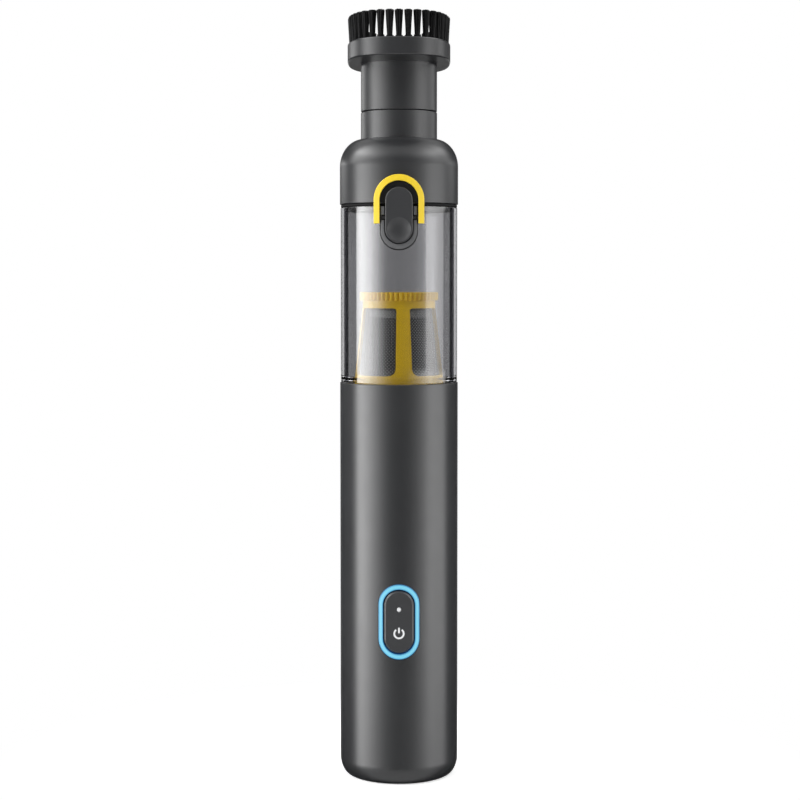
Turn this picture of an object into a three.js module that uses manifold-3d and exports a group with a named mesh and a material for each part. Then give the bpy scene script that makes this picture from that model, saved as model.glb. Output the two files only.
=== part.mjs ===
// Cordless car vacuum cleaner, standing on its foot with the brush nozzle on top.
// Millimetres. +Z runs up the barrel, -Y is the front with the button, the origin is the middle of the foot.

import * as THREE from 'three';
import { mergeVertices } from 'three/addons/utils/BufferGeometryUtils.js';
import Module from 'manifold-3d';

const wasm = await Module();
wasm.setup();

// Clearances
const fitGap = 0.3;
const trimGap = 0.2;
const cutOverrun = 2;
const weldTolerance = 0.0001;

// Barrel
const barrelRadius = 27.5;
const barrelWall = 2;
const footThickness = 2.5;
const footRoundWidth = 4.6;
const footRoundHeight = 8.4;
const seamChamfer = 0.4;
const ledgeDepth = 16.8;
const ledgeWidth = 1.9;
const ledgeHeight = 4;

// Exhaust slots at the back
const slotWidth = 2;
const slotHeight = 9;
const slotRowPitch = 12;
const slotDrop = 8.7;
const slotRows = 3;
const slotColumns = 5;
const slotColumnTurn = Math.PI / 12;

// Charging port at the back
const portCentreHeight = 14.4;
const portSideMargin = 0.55;
const portTopMargin = 0.65;
const socketWidth = 8.9;
const socketHeight = 3.3;
const socketDepth = 7.4;
const socketShell = 0.4;
const socketTongueThickness = 0.7;
const socketTongueMargin = 1.15;
const socketSetBack = 0.6;

// Light ring and power button
const buttonCentreHeight = 75.9;
const ringSideBand = 2.15;
const ringEndBand = 2.4;
const ringHoleMargin = 0.5;
const ringProud = 0.15;
const ringDepth = 4.2;
const buttonWidth = 13.5;
const buttonHeight = 28.7;
const buttonBevel = 0.8;
const buttonProud = 0.5;
const buttonThickness = 3;
const buttonTravel = 0.8;
const buttonStemRadius = 2;
const statusDotRadius = 1;
const statusDotRise = 5.8;
const statusDotDepth = 1.2;
const statusDotProud = 0.05;
const carrierThickness = 1.5;
const carrierMargin = 2.4;
const stemHoleGap = 0.6;
const switchSide = 6;
const switchBodyDepth = 2.2;
const plungerRadius = 1.6;
const plungerLength = 0.9;

// Boards
const boardThickness = 1.6;
const mainBoardWidth = 24;
const mainBoardDrop = 31.9;
const mainBoardTail = 14.4;
const chargeBoardWidth = 18;
const chargeBoardLength = 26;
const chargeBoardSetBack = 1.5;
const standoffRadius = 2.2;
const standoffSpread = 6;

// Batteries and their trays
const cellInset = 7.1;
const cellLength = 65;
const cellTipRadius = 2.8;
const cellTipHeight = 0.8;
const cellGap = 0.4;
const trayThickness = 5;
const trayPocketDepth = 3.5;
const trayHoleRadius = 1.6;
const trayRise = 6.6;
const trayLegRadius = 2.6;
const screwRadius = 1.1;
const screwHeadRadius = 2.2;
const screwHeadHeight = 1.3;
const screwLength = 6;
const screwInset = 6;
const leadSpace = 18.1;

// Motor and fan
const motorRadius = 14.5;
const motorHeight = 34;
const motorRound = 1.5;
const motorBossRadius = 3.8;
const motorBossHeight = 4;
const motorBoreDepth = 8;
const shaftRadius = 1.5;
const mountThickness = 3;
const mountHoleRadius = 3;
const mountHoleCircle = 11;
const mountHoles = 6;
const cradleHeight = 6;
const cradleWall = 2;
const cradleArmWidth = 4;
const cradleArms = 3;
const shroudMargin = 2.7;
const shroudWall = 1.6;
const shroudHeight = 28;
const shroudDeck = 2;
const shroudInletRadius = 10;
const impellerGap = 1.2;
const impellerRise = 2.8;
const impellerDisc = 1.5;
const impellerHubRadius = 4;
const impellerHubHeight = 9;
const bladeHeight = 7;
const bladeTipHeight = 4.5;
const bladeThickness = 1;
const blades = 7;
const leadRadius = 0.8;
const leadSpread = 4;

// Inlet grille, the deck that the filter stands on
const grilleThickness = 2.5;
const grilleSpigotInset = 5.4;
const grilleSpigotWall = 2;
const grilleSpigotHeight = 5;
const grilleBarWidth = 1.4;
const grilleBars = 2;

// Filter
const filterFlangeHeight = 3.2;
const filterFlangeWidth = 2.9;
const cageTaper = 3.5;
const cageWall = 1.5;
const windowRise = 6.7;
const windowHeight = 31.1;
const windowRound = 2;
const postFootWidth = 7.6;
const postTopWidth = 6;
const filterTurn = 0.11;
const ribRingWidth = 1.4;
const ribRingRise = 3;
const ribRingHeight = 4.3;
const ribDepth = 0.6;
const ribs = 24;
const lidThickness = 1.4;
const sleeveWall = 0.5;
const gasketWall = 3.2;
const pleats = 28;
const pleatDepth = 2;
const pleatWall = 3.4;
const pleatRimLip = 0.8;
const pleatRimGap = 0.4;
const pleatRimHeight = 3.6;
const pleatRimDrop = 0.8;
const pleatFootHeight = 2;

// Dust cup
const cupWall = 1.8;
const cupHeight = 80.8;
const cupSpigotWall = 1.6;
const cupSpigotDepth = 7.2;
const cupStepHeight = 1.8;
const cupGrooveDepth = 0.8;
const cupGrooveHeight = 2;
const cupGrooveRise = 2.4;
const sealProud = 0.15;
const sealSlack = 0.1;

// Latch on the cup
const latchRim = 2.05;
const latchHeight = 19.7;
const latchProud = 0.5;
const latchFloorInset = 4;
const latchFloor = 1.6;
const leverWidth = 12.5;
const leverRise = 2.7;
const leverHeight = 25.5;
const leverThickness = 3.2;
const leverProud = 1.3;
const leverBevel = 0.4;
const pivotRise = 11.7;
const pivotInset = 1.4;
const hubRadius = 2.2;
const pivotPinRadius = 1;
const dimpleRadius = 5.5;
const dimpleDepth = 1.1;
const dimpleRise = 6.3;
const springRadius = 1.55;
const springWire = 0.25;
const springTurns = 3;
const springPitch = 1.2;

// Nozzle cap
const capWall = 2;
const shoulderRise = 17.3;
const shoulderHeight = 12.9;
const shoulderInset = 0.8;
const spoutRadius = 17.7;
const spoutHeight = 12.4;
const spoutWall = 2.4;
const spoutTubeWall = 1.8;
const spoutTubeRise = 1.9;
const capLipWidth = 5.5;
const capLipHeight = 1.8;
const capSealThickness = 1;
const wellMargin = 2.5;
const wellHeadroom = 2.8;
const wellWall = 1.6;
const archBand = 2.7;
const archCrown = 2.8;
const archLegLength = 8;
const archRaise = 1.3;
const flapLap = 1.1;
const flapThickness = 1.2;

// Cap hinge at the back
const hingeRise = 0.7;
const hingeStandoff = 2.9;
const hingePinRadius = 1;
const hingePinGap = 0.25;
const knuckleRadius = 2.6;
const knuckleWidth = 8.6;
const earWidth = 3.6;
const bracketWall = 1.6;
const bracketMargin = 1.1;
const bracketDrop = 2.8;
const bracketHeight = 14.5;

// Brush nozzle
const neckStep = 0.05;
const neckHeight = 21.9;
const nozzleSpigotWall = 1.8;
const nozzleSpigotDepth = 13.6;
const nozzleGrooveDepth = 0.8;
const nozzleGrooveHeight = 1.8;
const nozzleGrooveRise = 4.4;
const collarHeight = 8.2;
const collarHalfWidth = 23.7;
const collarHalfDepth = 39.4;
const collarPower = 2.7;
const collarBevel = 0.6;
const mouthSideInset = 6.5;
const mouthEndInset = 6.8;
const mouthDepth = 3.6;
const stripInset = 1;
const stripWidth = 2.5;
const stripHeight = 1.8;
const tuftInset = 2;
const frontTufts = 24;
const rearTufts = 22;
const frontStripTufts = 9;
const rearStripTufts = 9;
const strandsRound = 6;
const tuftFootRadius = 0.68;
const tuftTipRadius = 1.35;
const strandFootRadius = 0.3;
const strandTipRadius = 0.24;
const bristleLength = 12.2;
const bristleRoot = 0.5;
const tipDrop = 0.35;

// Numbers of sides and steps
const shellSides = 32;
const filterSides = 28;
const midSides = 20;
const cellSides = 18;
const smallSides = 12;
const ventSides = 8;
const roundSteps = 4;
const springSteps = 6;
const collarSides = 40;

// Angle at which the cap's shoulder meets the spout
const shoulderMeet = 0.08;

// Places that follow from the sizes above, from the foot up
const barrelBore = barrelRadius - barrelWall;
const portWidth = socketWidth + 2 * portSideMargin;
const portHeight = socketHeight + 2 * portTopMargin;
const chargeBoardTop = portCentreHeight - socketHeight / 2 - fitGap;
const chargeBoardBottom = chargeBoardTop - boardThickness;
const screwSpread = barrelBore - screwInset;
const cellRadius = (barrelBore - cellInset) / 2;
const trayBottom = portCentreHeight + trayRise;
const cellBottom = trayBottom + trayThickness - trayPocketDepth + fitGap;
const cellTop = cellBottom + cellLength;
const upperTrayBottom = cellTop + fitGap - trayPocketDepth;
const upperTrayTop = upperTrayBottom + trayThickness;
const cellCircle = (2 * cellRadius + cellGap) / Math.sqrt(3);
const trayFlat = cellCircle / 2 + cellRadius + cellGap;

const mainBoardBottom = buttonCentreHeight - mainBoardDrop;
const mainBoardTop = upperTrayTop + mainBoardTail;
const mainBoardBack = -(trayFlat + fitGap);
const mainBoardFront = mainBoardBack - boardThickness;
const plungerFront = mainBoardFront - fitGap - switchBodyDepth - plungerLength;
const stemBack = plungerFront - fitGap - buttonTravel;
const buttonFront = -(barrelRadius + buttonProud);
const ringHoleWidth = buttonWidth + 2 * ringHoleMargin;
const ringHoleHeight = buttonHeight + 2 * ringHoleMargin;
const ringWidth = ringHoleWidth + 2 * ringSideBand;
const ringHeight = ringHoleHeight + 2 * ringEndBand;
const ringBack = -(barrelRadius + ringProud - ringDepth);
const carrierFront = ringBack + fitGap;
const carrierBack = carrierFront + carrierThickness;

const motorBottom = upperTrayTop + leadSpace;
const motorTop = motorBottom + motorHeight;
const cradleBottom = motorBottom + motorRound;
const slotCentre = motorTop - slotDrop;
const mountBottom = motorTop + fitGap;
const mountTop = mountBottom + mountThickness;
const impellerBottom = motorTop + motorBossHeight + impellerRise;
const shroudRadius = barrelBore - shroudMargin;
const impellerRadius = shroudRadius - shroudWall - impellerGap;
const shroudBottom = mountBottom - fitGap;
const shroudTop = shroudBottom + shroudHeight;
const ledgeTop = shroudTop - shroudDeck - fitGap;
const cupRadius = barrelRadius - fitGap;
const cupBore = cupRadius - cupWall;
const cupSpigotRadius = barrelBore - fitGap;
const cupSpigotBore = cupSpigotRadius - cupSpigotWall;
const filterFlangeRadius = cupSpigotBore - fitGap;
const cageFootRadius = filterFlangeRadius - filterFlangeWidth;
const cageTopRadius = cageFootRadius - cageTaper;
const grilleSpigotRadius = cageFootRadius - grilleSpigotInset;

const grilleBottom = shroudTop + fitGap;
const grilleTop = grilleBottom + grilleThickness;
const barrelHeight = ledgeTop + ledgeDepth;

const cupShoulder = barrelHeight + fitGap;
const cupBottom = cupShoulder - cupSpigotDepth;
const cupTop = cupShoulder + cupHeight;

const filterBottom = grilleTop + grilleSpigotHeight + fitGap;
const flangeTop = filterBottom + filterFlangeHeight;
const windowBottom = flangeTop + windowRise;
const windowTop = windowBottom + windowHeight;
const ribRingRadius = cageTopRadius + ribRingWidth;
const ribRingBottom = windowTop + ribRingRise;
const ribRingTop = ribRingBottom + ribRingHeight;
const pleatRimRadius = cageTopRadius - cageWall - fitGap - sleeveWall - pleatRimGap;
const pleatRimTop = windowTop - pleatRimDrop;
const pleatRimBottom = pleatRimTop - pleatRimHeight;
const pleatOuterRadius = pleatRimRadius - pleatRimLip;
const pleatInnerRadius = pleatOuterRadius - pleatDepth;
const pleatBoreRadius = pleatInnerRadius - pleatWall;

const latchWidth = leverWidth + 2 * latchRim;
const latchFront = -(barrelRadius + latchProud);
const latchBottom = cupTop - latchHeight;
const latchFloorFront = -(barrelRadius - latchFloorInset);
const latchFloorBack = latchFloorFront + latchFloor;
const leverFront = -(barrelRadius + leverProud);
const leverBack = leverFront + leverThickness;
const leverBottom = latchBottom + leverRise;
const leverTop = leverBottom + leverHeight;
const pivotDepth = -(barrelRadius - pivotInset);
const pivotHeight = leverBottom + pivotRise;
const springReach = springRadius + springWire + fitGap;
const springPocketHalf = (springTurns * springPitch) / 2 + springWire + fitGap;

const capSealBottom = cupTop + trimGap;
const capSealTop = capSealBottom + capSealThickness;
const capSealRadius = cupRadius - trimGap;
const capBottom = capSealTop + trimGap;
const capLipRadius = barrelRadius - capLipWidth;
const spoutBore = spoutRadius - spoutWall;
const spoutTubeRadius = spoutBore + spoutTubeWall;
const spoutTubeBottom = capBottom + spoutTubeRise;
const shoulderCentre = capBottom + shoulderRise;
const shoulderTop = shoulderCentre + shoulderHeight;
const shoulderCentreRadius = spoutRadius - shoulderInset;
const shoulderWidth = barrelRadius - shoulderCentreRadius;
const spoutTop = shoulderTop + spoutHeight;
const wellWidth = leverWidth + 2 * wellMargin;
const wellTop = leverTop + wellHeadroom;
const archWidth = wellWidth + 2 * archBand;
const archTop = wellTop + archCrown;
const archLegBottom = cupTop - archLegLength;
const flapRadius = spoutBore + flapLap;
const flapTop = spoutTubeBottom - fitGap;

const hingeDepth = barrelRadius + hingeStandoff;
const hingeHeight = cupTop + hingeRise;
const hingeHalfWidth = knuckleWidth / 2 + fitGap + earWidth;
const bracketTop = cupTop - bracketDrop;
const bracketBottom = bracketTop - bracketHeight;

const neckRadius = spoutRadius - neckStep;
const neckBottom = spoutTop + fitGap;
const nozzleSpigotRadius = spoutBore - fitGap;
const nozzleBore = nozzleSpigotRadius - nozzleSpigotWall;
const nozzleBottom = neckBottom - nozzleSpigotDepth;
const collarBottom = neckBottom + neckHeight;
const collarTop = collarBottom + collarHeight;
const stripBottom = collarTop - stripHeight;
const mouthHalfWidth = collarHalfWidth - mouthSideInset;
const mouthHalfDepth = collarHalfDepth - mouthEndInset;

// Solids

function solidOf(geometry) {
  const bare = geometry.clone();
  bare.deleteAttribute('normal');
  bare.deleteAttribute('uv');
  const merged = mergeVertices(bare, weldTolerance);
  const places = merged.attributes.position.array;
  const corners = [];
  let volume = 0;
  for (let i = 0; i < merged.index.count; i += 3) {
    const [a, b, c] = [merged.index.getX(i), merged.index.getX(i + 1), merged.index.getX(i + 2)];
    if (a !== b && b !== c && c !== a) {
      const [p, q, r] = [a, b, c].map((k) => new THREE.Vector3().fromArray(places, 3 * k));
      volume += p.dot(q.cross(r));
      corners.push(a, b, c);
    }
  }
  const triVerts = Uint32Array.from(volume < 0 ? corners.reverse() : corners);
  const mesh = new wasm.Mesh({ numProp: 3, vertProperties: Float32Array.from(places), triVerts });
  return new wasm.Manifold(mesh);
}

function cut(solid, ...tools) {
  return tools.reduce((left, tool) => left.subtract(tool), solid);
}

function join(solid, ...others) {
  return others.reduce((sum, other) => sum.add(other), solid);
}

function geometryOf(solid) {
  const { vertProperties, triVerts } = solid.getMesh();
  const geometry = new THREE.BufferGeometry();
  geometry.setAttribute('position', new THREE.BufferAttribute(vertProperties, 3));
  geometry.setIndex(new THREE.BufferAttribute(triVerts, 1));
  geometry.computeVertexNormals();
  return geometry;
}

// A body of revolution about Z from [radius, height] points
function turned(points, sides = shellSides) {
  const profile = points.map(([radius, height]) => new THREE.Vector2(radius, height));
  profile.push(profile[0].clone());
  return solidOf(new THREE.LatheGeometry(profile, sides).rotateX(Math.PI / 2));
}

function ring(outer, inner, bottom, top, sides = shellSides) {
  return turned([[inner, bottom], [outer, bottom], [outer, top], [inner, top]], sides);
}

function disc(radius, bottom, top, sides = shellSides) {
  return turned([[0, bottom], [radius, bottom], [radius, top], [0, top]], sides);
}

function post(radius, x, y, bottom, top, sides = smallSides) {
  const geometry = new THREE.CylinderGeometry(radius, radius, top - bottom, sides);
  return solidOf(geometry.rotateX(Math.PI / 2).translate(x, y, (bottom + top) / 2));
}

function crossPin(radius, x0, x1, y, z, sides = smallSides) {
  const geometry = new THREE.CylinderGeometry(radius, radius, x1 - x0, sides);
  return solidOf(geometry.rotateZ(Math.PI / 2).translate((x0 + x1) / 2, y, z));
}

function block(x0, x1, y0, y1, z0, z1) {
  const geometry = new THREE.BoxGeometry(x1 - x0, y1 - y0, z1 - z0);
  return solidOf(geometry.translate((x0 + x1) / 2, (y0 + y1) / 2, (z0 + z1) / 2));
}

// Points of a quarter of an ellipse, from its start angle to its end angle
function arcPoints(radius, height, width, rise, start, end, steps = roundSteps) {
  return Array.from({ length: steps + 1 }, (_, i) => {
    const angle = start + ((end - start) * i) / steps;
    return [radius + width * Math.cos(angle), height + rise * Math.sin(angle)];
  });
}

// An upright outline with half-round ends, drawn as seen from the front
function capsule(width, height, centre, curve = THREE.Shape) {
  const radius = width / 2;
  const rise = height / 2 - radius;
  const outline = new curve();
  outline.absarc(0, centre + rise, radius, 0, Math.PI, false);
  outline.absarc(0, centre - rise, radius, Math.PI, 2 * Math.PI, false);
  return outline;
}

// An outline with a half-round bottom and a square top
function cupOutline(width, bottom, top) {
  const radius = width / 2;
  const outline = new THREE.Shape();
  outline.absarc(0, bottom + radius, radius, Math.PI, 2 * Math.PI, false);
  outline.lineTo(radius, top);
  outline.lineTo(-radius, top);
  return outline;
}

// An outline with a half-round top and a square bottom
function archOutline(width, bottom, top) {
  const radius = width / 2;
  const outline = new THREE.Shape();
  outline.absarc(0, top - radius, radius, 0, Math.PI, false);
  outline.lineTo(-radius, bottom);
  outline.lineTo(radius, bottom);
  return outline;
}

// A front outline carried straight back from one depth to another
function frontPlate(outline, front, back, curveSegments = smallSides / 2) {
  const geometry = new THREE.ExtrudeGeometry(outline, {
    depth: back - front,
    bevelEnabled: false,
    curveSegments,
  });
  return solidOf(geometry.rotateX(Math.PI / 2).translate(0, back, 0));
}

// The same with a bevelled front edge
function bevelledPlate(outline, front, back, bevel, curveSegments = smallSides / 2) {
  const geometry = new THREE.ExtrudeGeometry(outline, {
    depth: back - front - 2 * bevel,
    bevelEnabled: true,
    bevelThickness: bevel,
    bevelSize: bevel,
    bevelOffset: -bevel,
    bevelSegments: 1,
    curveSegments,
  });
  return solidOf(geometry.rotateX(Math.PI / 2).translate(0, back - bevel, 0));
}

// A floor outline carried up from one height to another
function floorPlate(points, bottom, top) {
  const outline = new THREE.Shape(points.map(([x, y]) => new THREE.Vector2(x, y)));
  const geometry = new THREE.ExtrudeGeometry(outline, { depth: top - bottom, bevelEnabled: false });
  return solidOf(geometry.translate(0, 0, bottom));
}

function turnAbout(solid, angle) {
  return solid.rotate([0, 0, THREE.MathUtils.radToDeg(angle)]);
}

// The oval of the brush collar, drawn in from its edge by an inset
function ovalPoint(angle, halfWidth, halfDepth) {
  const [c, s] = [Math.cos(angle), Math.sin(angle)];
  const x = halfWidth * Math.sign(c) * Math.abs(c) ** (2 / collarPower);
  const y = halfDepth * Math.sign(s) * Math.abs(s) ** (2 / collarPower);
  return [x, y];
}

function oval(halfWidth, halfDepth, sides = collarSides) {
  return Array.from({ length: sides }, (_, i) => ovalPoint((2 * Math.PI * i) / sides, halfWidth, halfDepth));
}

// Handle

function handleCasing() {
  const foot = arcPoints(barrelRadius - footRoundWidth, footRoundHeight, footRoundWidth, footRoundHeight,
    -Math.PI / 2, 0);
  const shell = turned([
    [0, 0],
    ...foot,
    [barrelRadius, barrelHeight - seamChamfer],
    [barrelRadius - seamChamfer, barrelHeight],
    [barrelBore, barrelHeight],
    [barrelBore, ledgeTop],
    [barrelBore - ledgeWidth, ledgeTop],
    [barrelBore, ledgeTop - ledgeHeight],
    [barrelBore, footRoundHeight],
    [barrelBore - footRoundWidth, footThickness],
    [0, footThickness],
  ]);
  const ringHole = frontPlate(
    capsule(ringWidth + 2 * trimGap, ringHeight + 2 * trimGap, buttonCentreHeight),
    -(barrelRadius + cutOverrun), ringBack + cutOverrun);
  const port = frontPlate(portOutline(), barrelBore - cutOverrun, barrelRadius + cutOverrun);
  const standoffs = [-1, 1].map((side) => post(standoffRadius, side * standoffSpread, 0,
    footThickness - footThickness / 2, chargeBoardBottom - fitGap));
  const bosses = screwPlaces().map(([x, y]) => post(trayLegRadius, x, y,
    footThickness - footThickness / 2, trayBottom - fitGap));
  const pilots = screwPlaces().map(([x, y]) => post(screwRadius + fitGap, x, y,
    trayBottom - screwLength, trayBottom));
  return cut(join(shell, ...standoffs, ...bosses), ringHole, port, ...exhaustSlots(), ...pilots);
}

function portOutline() {
  const radius = portHeight / 2;
  const reach = portWidth / 2 - radius;
  const outline = new THREE.Shape();
  outline.absarc(reach, portCentreHeight, radius, -Math.PI / 2, Math.PI / 2, false);
  outline.absarc(-reach, portCentreHeight, radius, Math.PI / 2, (3 * Math.PI) / 2, false);
  return outline;
}

function screwPlaces() {
  return [-1, 1].map((side) => [side * screwSpread, 0]);
}

function exhaustSlots() {
  const slots = [];
  for (let row = 0; row < slotRows; row += 1) {
    const centre = slotCentre + (row - (slotRows - 1) / 2) * slotRowPitch;
    for (let column = 0; column < slotColumns; column += 1) {
      const slot = block(-slotWidth / 2, slotWidth / 2, barrelBore - cutOverrun, barrelRadius + cutOverrun,
        centre - slotHeight / 2, centre + slotHeight / 2);
      slots.push(turnAbout(slot, (column - (slotColumns - 1) / 2) * slotColumnTurn));
    }
  }
  return slots;
}

function lightRing() {
  const outline = capsule(ringWidth, ringHeight, buttonCentreHeight);
  outline.holes.push(capsule(ringHoleWidth, ringHoleHeight, buttonCentreHeight, THREE.Path));
  const body = frontPlate(outline, -(barrelRadius + cutOverrun), ringBack);
  return body.intersect(disc(barrelRadius + ringProud, 0, barrelHeight));
}

function powerButton() {
  const cap = bevelledPlate(capsule(buttonWidth, buttonHeight, buttonCentreHeight),
    buttonFront, buttonFront + buttonThickness, buttonBevel);
  const stem = new THREE.CylinderGeometry(buttonStemRadius, buttonStemRadius,
    stemBack - buttonFront - buttonThickness / 2, smallSides);
  stem.translate(0, (stemBack + buttonFront + buttonThickness / 2) / 2, buttonCentreHeight);
  return cut(join(cap, solidOf(stem)), dotSolid(statusDotRadius + trimGap, statusDotDepth + fitGap));
}

function dotSolid(radius, depth) {
  const front = buttonFront - statusDotProud;
  const geometry = new THREE.CylinderGeometry(radius, radius, depth, smallSides);
  return solidOf(geometry.translate(0, front + depth / 2, buttonCentreHeight + statusDotRise));
}

function buttonCarrier() {
  const plate = frontPlate(capsule(ringWidth + carrierMargin, ringHeight + carrierMargin, buttonCentreHeight),
    carrierFront, carrierBack);
  const hole = new THREE.CylinderGeometry(buttonStemRadius + stemHoleGap, buttonStemRadius + stemHoleGap,
    carrierThickness + cutOverrun, smallSides);
  hole.translate(0, (carrierFront + carrierBack) / 2, buttonCentreHeight);
  return cut(plate.intersect(disc(barrelBore - fitGap, 0, barrelHeight)), solidOf(hole));
}

function tactileSwitch() {
  const back = mainBoardFront - fitGap;
  const body = block(-switchSide / 2, switchSide / 2, back - switchBodyDepth, back,
    buttonCentreHeight - switchSide / 2, buttonCentreHeight + switchSide / 2);
  const plunger = new THREE.CylinderGeometry(plungerRadius, plungerRadius,
    plungerLength + switchBodyDepth / 2, smallSides);
  plunger.translate(0, plungerFront + (plungerLength + switchBodyDepth / 2) / 2, buttonCentreHeight);
  return join(body, solidOf(plunger));
}

function mainBoard() {
  return block(-mainBoardWidth / 2, mainBoardWidth / 2, mainBoardFront, mainBoardBack,
    mainBoardBottom, mainBoardTop);
}

function chargingBoard() {
  const back = socketMouth() - chargeBoardSetBack;
  return block(-chargeBoardWidth / 2, chargeBoardWidth / 2, back - chargeBoardLength, back,
    chargeBoardBottom, chargeBoardTop);
}

function socketMouth() {
  return Math.sqrt(barrelBore ** 2 - (portWidth / 2) ** 2) - fitGap;
}

function chargingSocket() {
  const bottom = chargeBoardTop + fitGap;
  const back = socketMouth();
  const shell = block(-socketWidth / 2, socketWidth / 2, back - socketDepth, back,
    bottom, bottom + socketHeight);
  const mouth = block(-socketWidth / 2 + socketShell, socketWidth / 2 - socketShell,
    back - socketDepth + 2 * socketShell, back + cutOverrun,
    bottom + socketShell, bottom + socketHeight - socketShell);
  const middle = bottom + socketHeight / 2;
  const tongue = block(-socketWidth / 2 + socketTongueMargin, socketWidth / 2 - socketTongueMargin,
    back - socketDepth + socketShell, back - socketSetBack,
    middle - socketTongueThickness / 2, middle + socketTongueThickness / 2);
  return join(cut(shell, mouth), tongue);
}

// Three cells in a triangle, one at the back
function cellPlaces() {
  return [0, 1, 2].map((i) => {
    const angle = Math.PI / 2 + (i * 2 * Math.PI) / 3;
    return [cellCircle * Math.cos(angle), cellCircle * Math.sin(angle)];
  });
}

function batteryCell([x, y]) {
  return turned([
    [0, cellBottom],
    [cellRadius, cellBottom],
    [cellRadius, cellTop - cellTipHeight],
    [cellTipRadius, cellTop - cellTipHeight],
    [cellTipRadius, cellTop],
    [0, cellTop],
  ], cellSides).translate([x, y, 0]);
}

function trayDisc(bottom, top) {
  const plate = disc(barrelBore - fitGap, bottom, top, midSides);
  const front = block(-barrelRadius, barrelRadius, -barrelRadius, -trayFlat, bottom - cutOverrun,
    top + cutOverrun);
  return cut(plate, front);
}

function lowerTray() {
  const top = trayBottom + trayThickness;
  const pockets = cellPlaces().map(([x, y]) => post(cellRadius + trimGap, x, y,
    top - trayPocketDepth, top + cutOverrun, cellSides));
  const screwHoles = screwPlaces().map(([x, y]) => post(screwRadius + fitGap, x, y,
    trayBottom - cutOverrun, top + cutOverrun));
  const headSeats = screwPlaces().map(([x, y]) => post(screwHeadRadius + fitGap, x, y,
    top - screwHeadHeight - fitGap, top + cutOverrun));
  return cut(trayDisc(trayBottom, top), ...pockets, ...screwHoles, ...headSeats);
}

function upperTray() {
  const pockets = cellPlaces().map(([x, y]) => post(cellRadius + trimGap, x, y,
    upperTrayBottom - cutOverrun, upperTrayBottom + trayPocketDepth, cellSides));
  const leadHoles = [-1, 1].map((side) => post(trayHoleRadius, side * leadSpread, 0,
    upperTrayBottom, upperTrayTop + cutOverrun));
  return cut(trayDisc(upperTrayBottom, upperTrayTop), ...pockets, ...leadHoles);
}

function trayScrew([x, y]) {
  const seat = trayBottom + trayThickness - screwHeadHeight;
  return turned([
    [0, seat - screwLength],
    [screwRadius, seat - screwLength],
    [screwRadius, seat],
    [screwHeadRadius, seat],
    [screwHeadRadius, seat + screwHeadHeight],
    [0, seat + screwHeadHeight],
  ], smallSides).translate([x, y, 0]);
}

function motorCan() {
  const rounded = arcPoints(motorRadius - motorRound, motorTop - motorRound, motorRound, motorRound,
    0, Math.PI / 2, 1);
  const body = turned([
    [0, motorBottom],
    [motorRadius - motorRound, motorBottom],
    [motorRadius, motorBottom + motorRound],
    ...rounded,
    [motorBossRadius, motorTop],
    [motorBossRadius, motorTop + motorBossHeight],
    [0, motorTop + motorBossHeight],
  ], midSides);
  const bore = post(shaftRadius + fitGap, 0, 0, motorTop + motorBossHeight - motorBoreDepth,
    motorTop + motorBossHeight + cutOverrun);
  return cut(body, bore);
}

function motorShaft() {
  return post(shaftRadius, 0, 0, motorTop + motorBossHeight - motorBoreDepth + fitGap,
    impellerBottom + impellerHubHeight - fitGap);
}

function motorMount() {
  const plate = disc(shroudRadius - shroudWall - fitGap, mountBottom, mountTop, filterSides);
  const holes = Array.from({ length: mountHoles }, (_, i) => {
    const angle = (2 * Math.PI * i) / mountHoles;
    return post(mountHoleRadius, mountHoleCircle * Math.cos(angle), mountHoleCircle * Math.sin(angle),
      mountBottom - cutOverrun, mountTop + cutOverrun, ventSides);
  });
  const bossHole = post(motorBossRadius + fitGap, 0, 0, mountBottom - cutOverrun, mountTop + cutOverrun,
    midSides);
  return cut(plate, bossHole, ...holes);
}

function motorCradle() {
  const inner = motorRadius + fitGap;
  const band = ring(inner + cradleWall, inner, cradleBottom, cradleBottom + cradleHeight, midSides);
  const arms = Array.from({ length: cradleArms }, (_, i) => {
    const arm = block(inner + cradleWall / 2, barrelRadius, -cradleArmWidth / 2, cradleArmWidth / 2,
      cradleBottom, cradleBottom + cradleHeight);
    return turnAbout(arm, Math.PI / 4 + (2 * Math.PI * i) / cradleArms);
  });
  return join(band, ...arms).intersect(disc(barrelBore - fitGap, 0, barrelHeight, midSides));
}

function fanShroud() {
  const inner = shroudRadius - shroudWall;
  return turned([
    [inner, shroudBottom],
    [shroudRadius, shroudBottom],
    [shroudRadius, shroudTop - shroudDeck],
    [barrelBore - fitGap, shroudTop - shroudDeck],
    [barrelBore - fitGap, shroudTop],
    [shroudInletRadius, shroudTop],
    [shroudInletRadius, shroudTop - shroudDeck],
    [inner, shroudTop - shroudDeck],
  ], midSides);
}

function impeller() {
  const disc0 = disc(impellerRadius, impellerBottom, impellerBottom + impellerDisc, midSides);
  const hub = disc(impellerHubRadius, impellerBottom, impellerBottom + impellerHubHeight, smallSides);
  const outline = new THREE.Shape();
  const foot = impellerBottom + impellerDisc / 2;
  const top = impellerBottom + impellerDisc;
  outline.moveTo(impellerHubRadius / 2, foot);
  outline.lineTo(impellerRadius, foot);
  outline.lineTo(impellerRadius, top + bladeTipHeight);
  outline.lineTo(impellerRadius / 2, top + bladeHeight);
  outline.lineTo(impellerHubRadius / 2, top + bladeHeight);
  const blade = frontPlate(outline, -bladeThickness / 2, bladeThickness / 2);
  const fan = Array.from({ length: blades }, (_, i) => turnAbout(blade, (2 * Math.PI * i) / blades));
  const bore = post(shaftRadius + fitGap, 0, 0, impellerBottom - cutOverrun,
    impellerBottom + impellerHubHeight + cutOverrun);
  return cut(join(disc0, hub, ...fan), bore);
}

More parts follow.
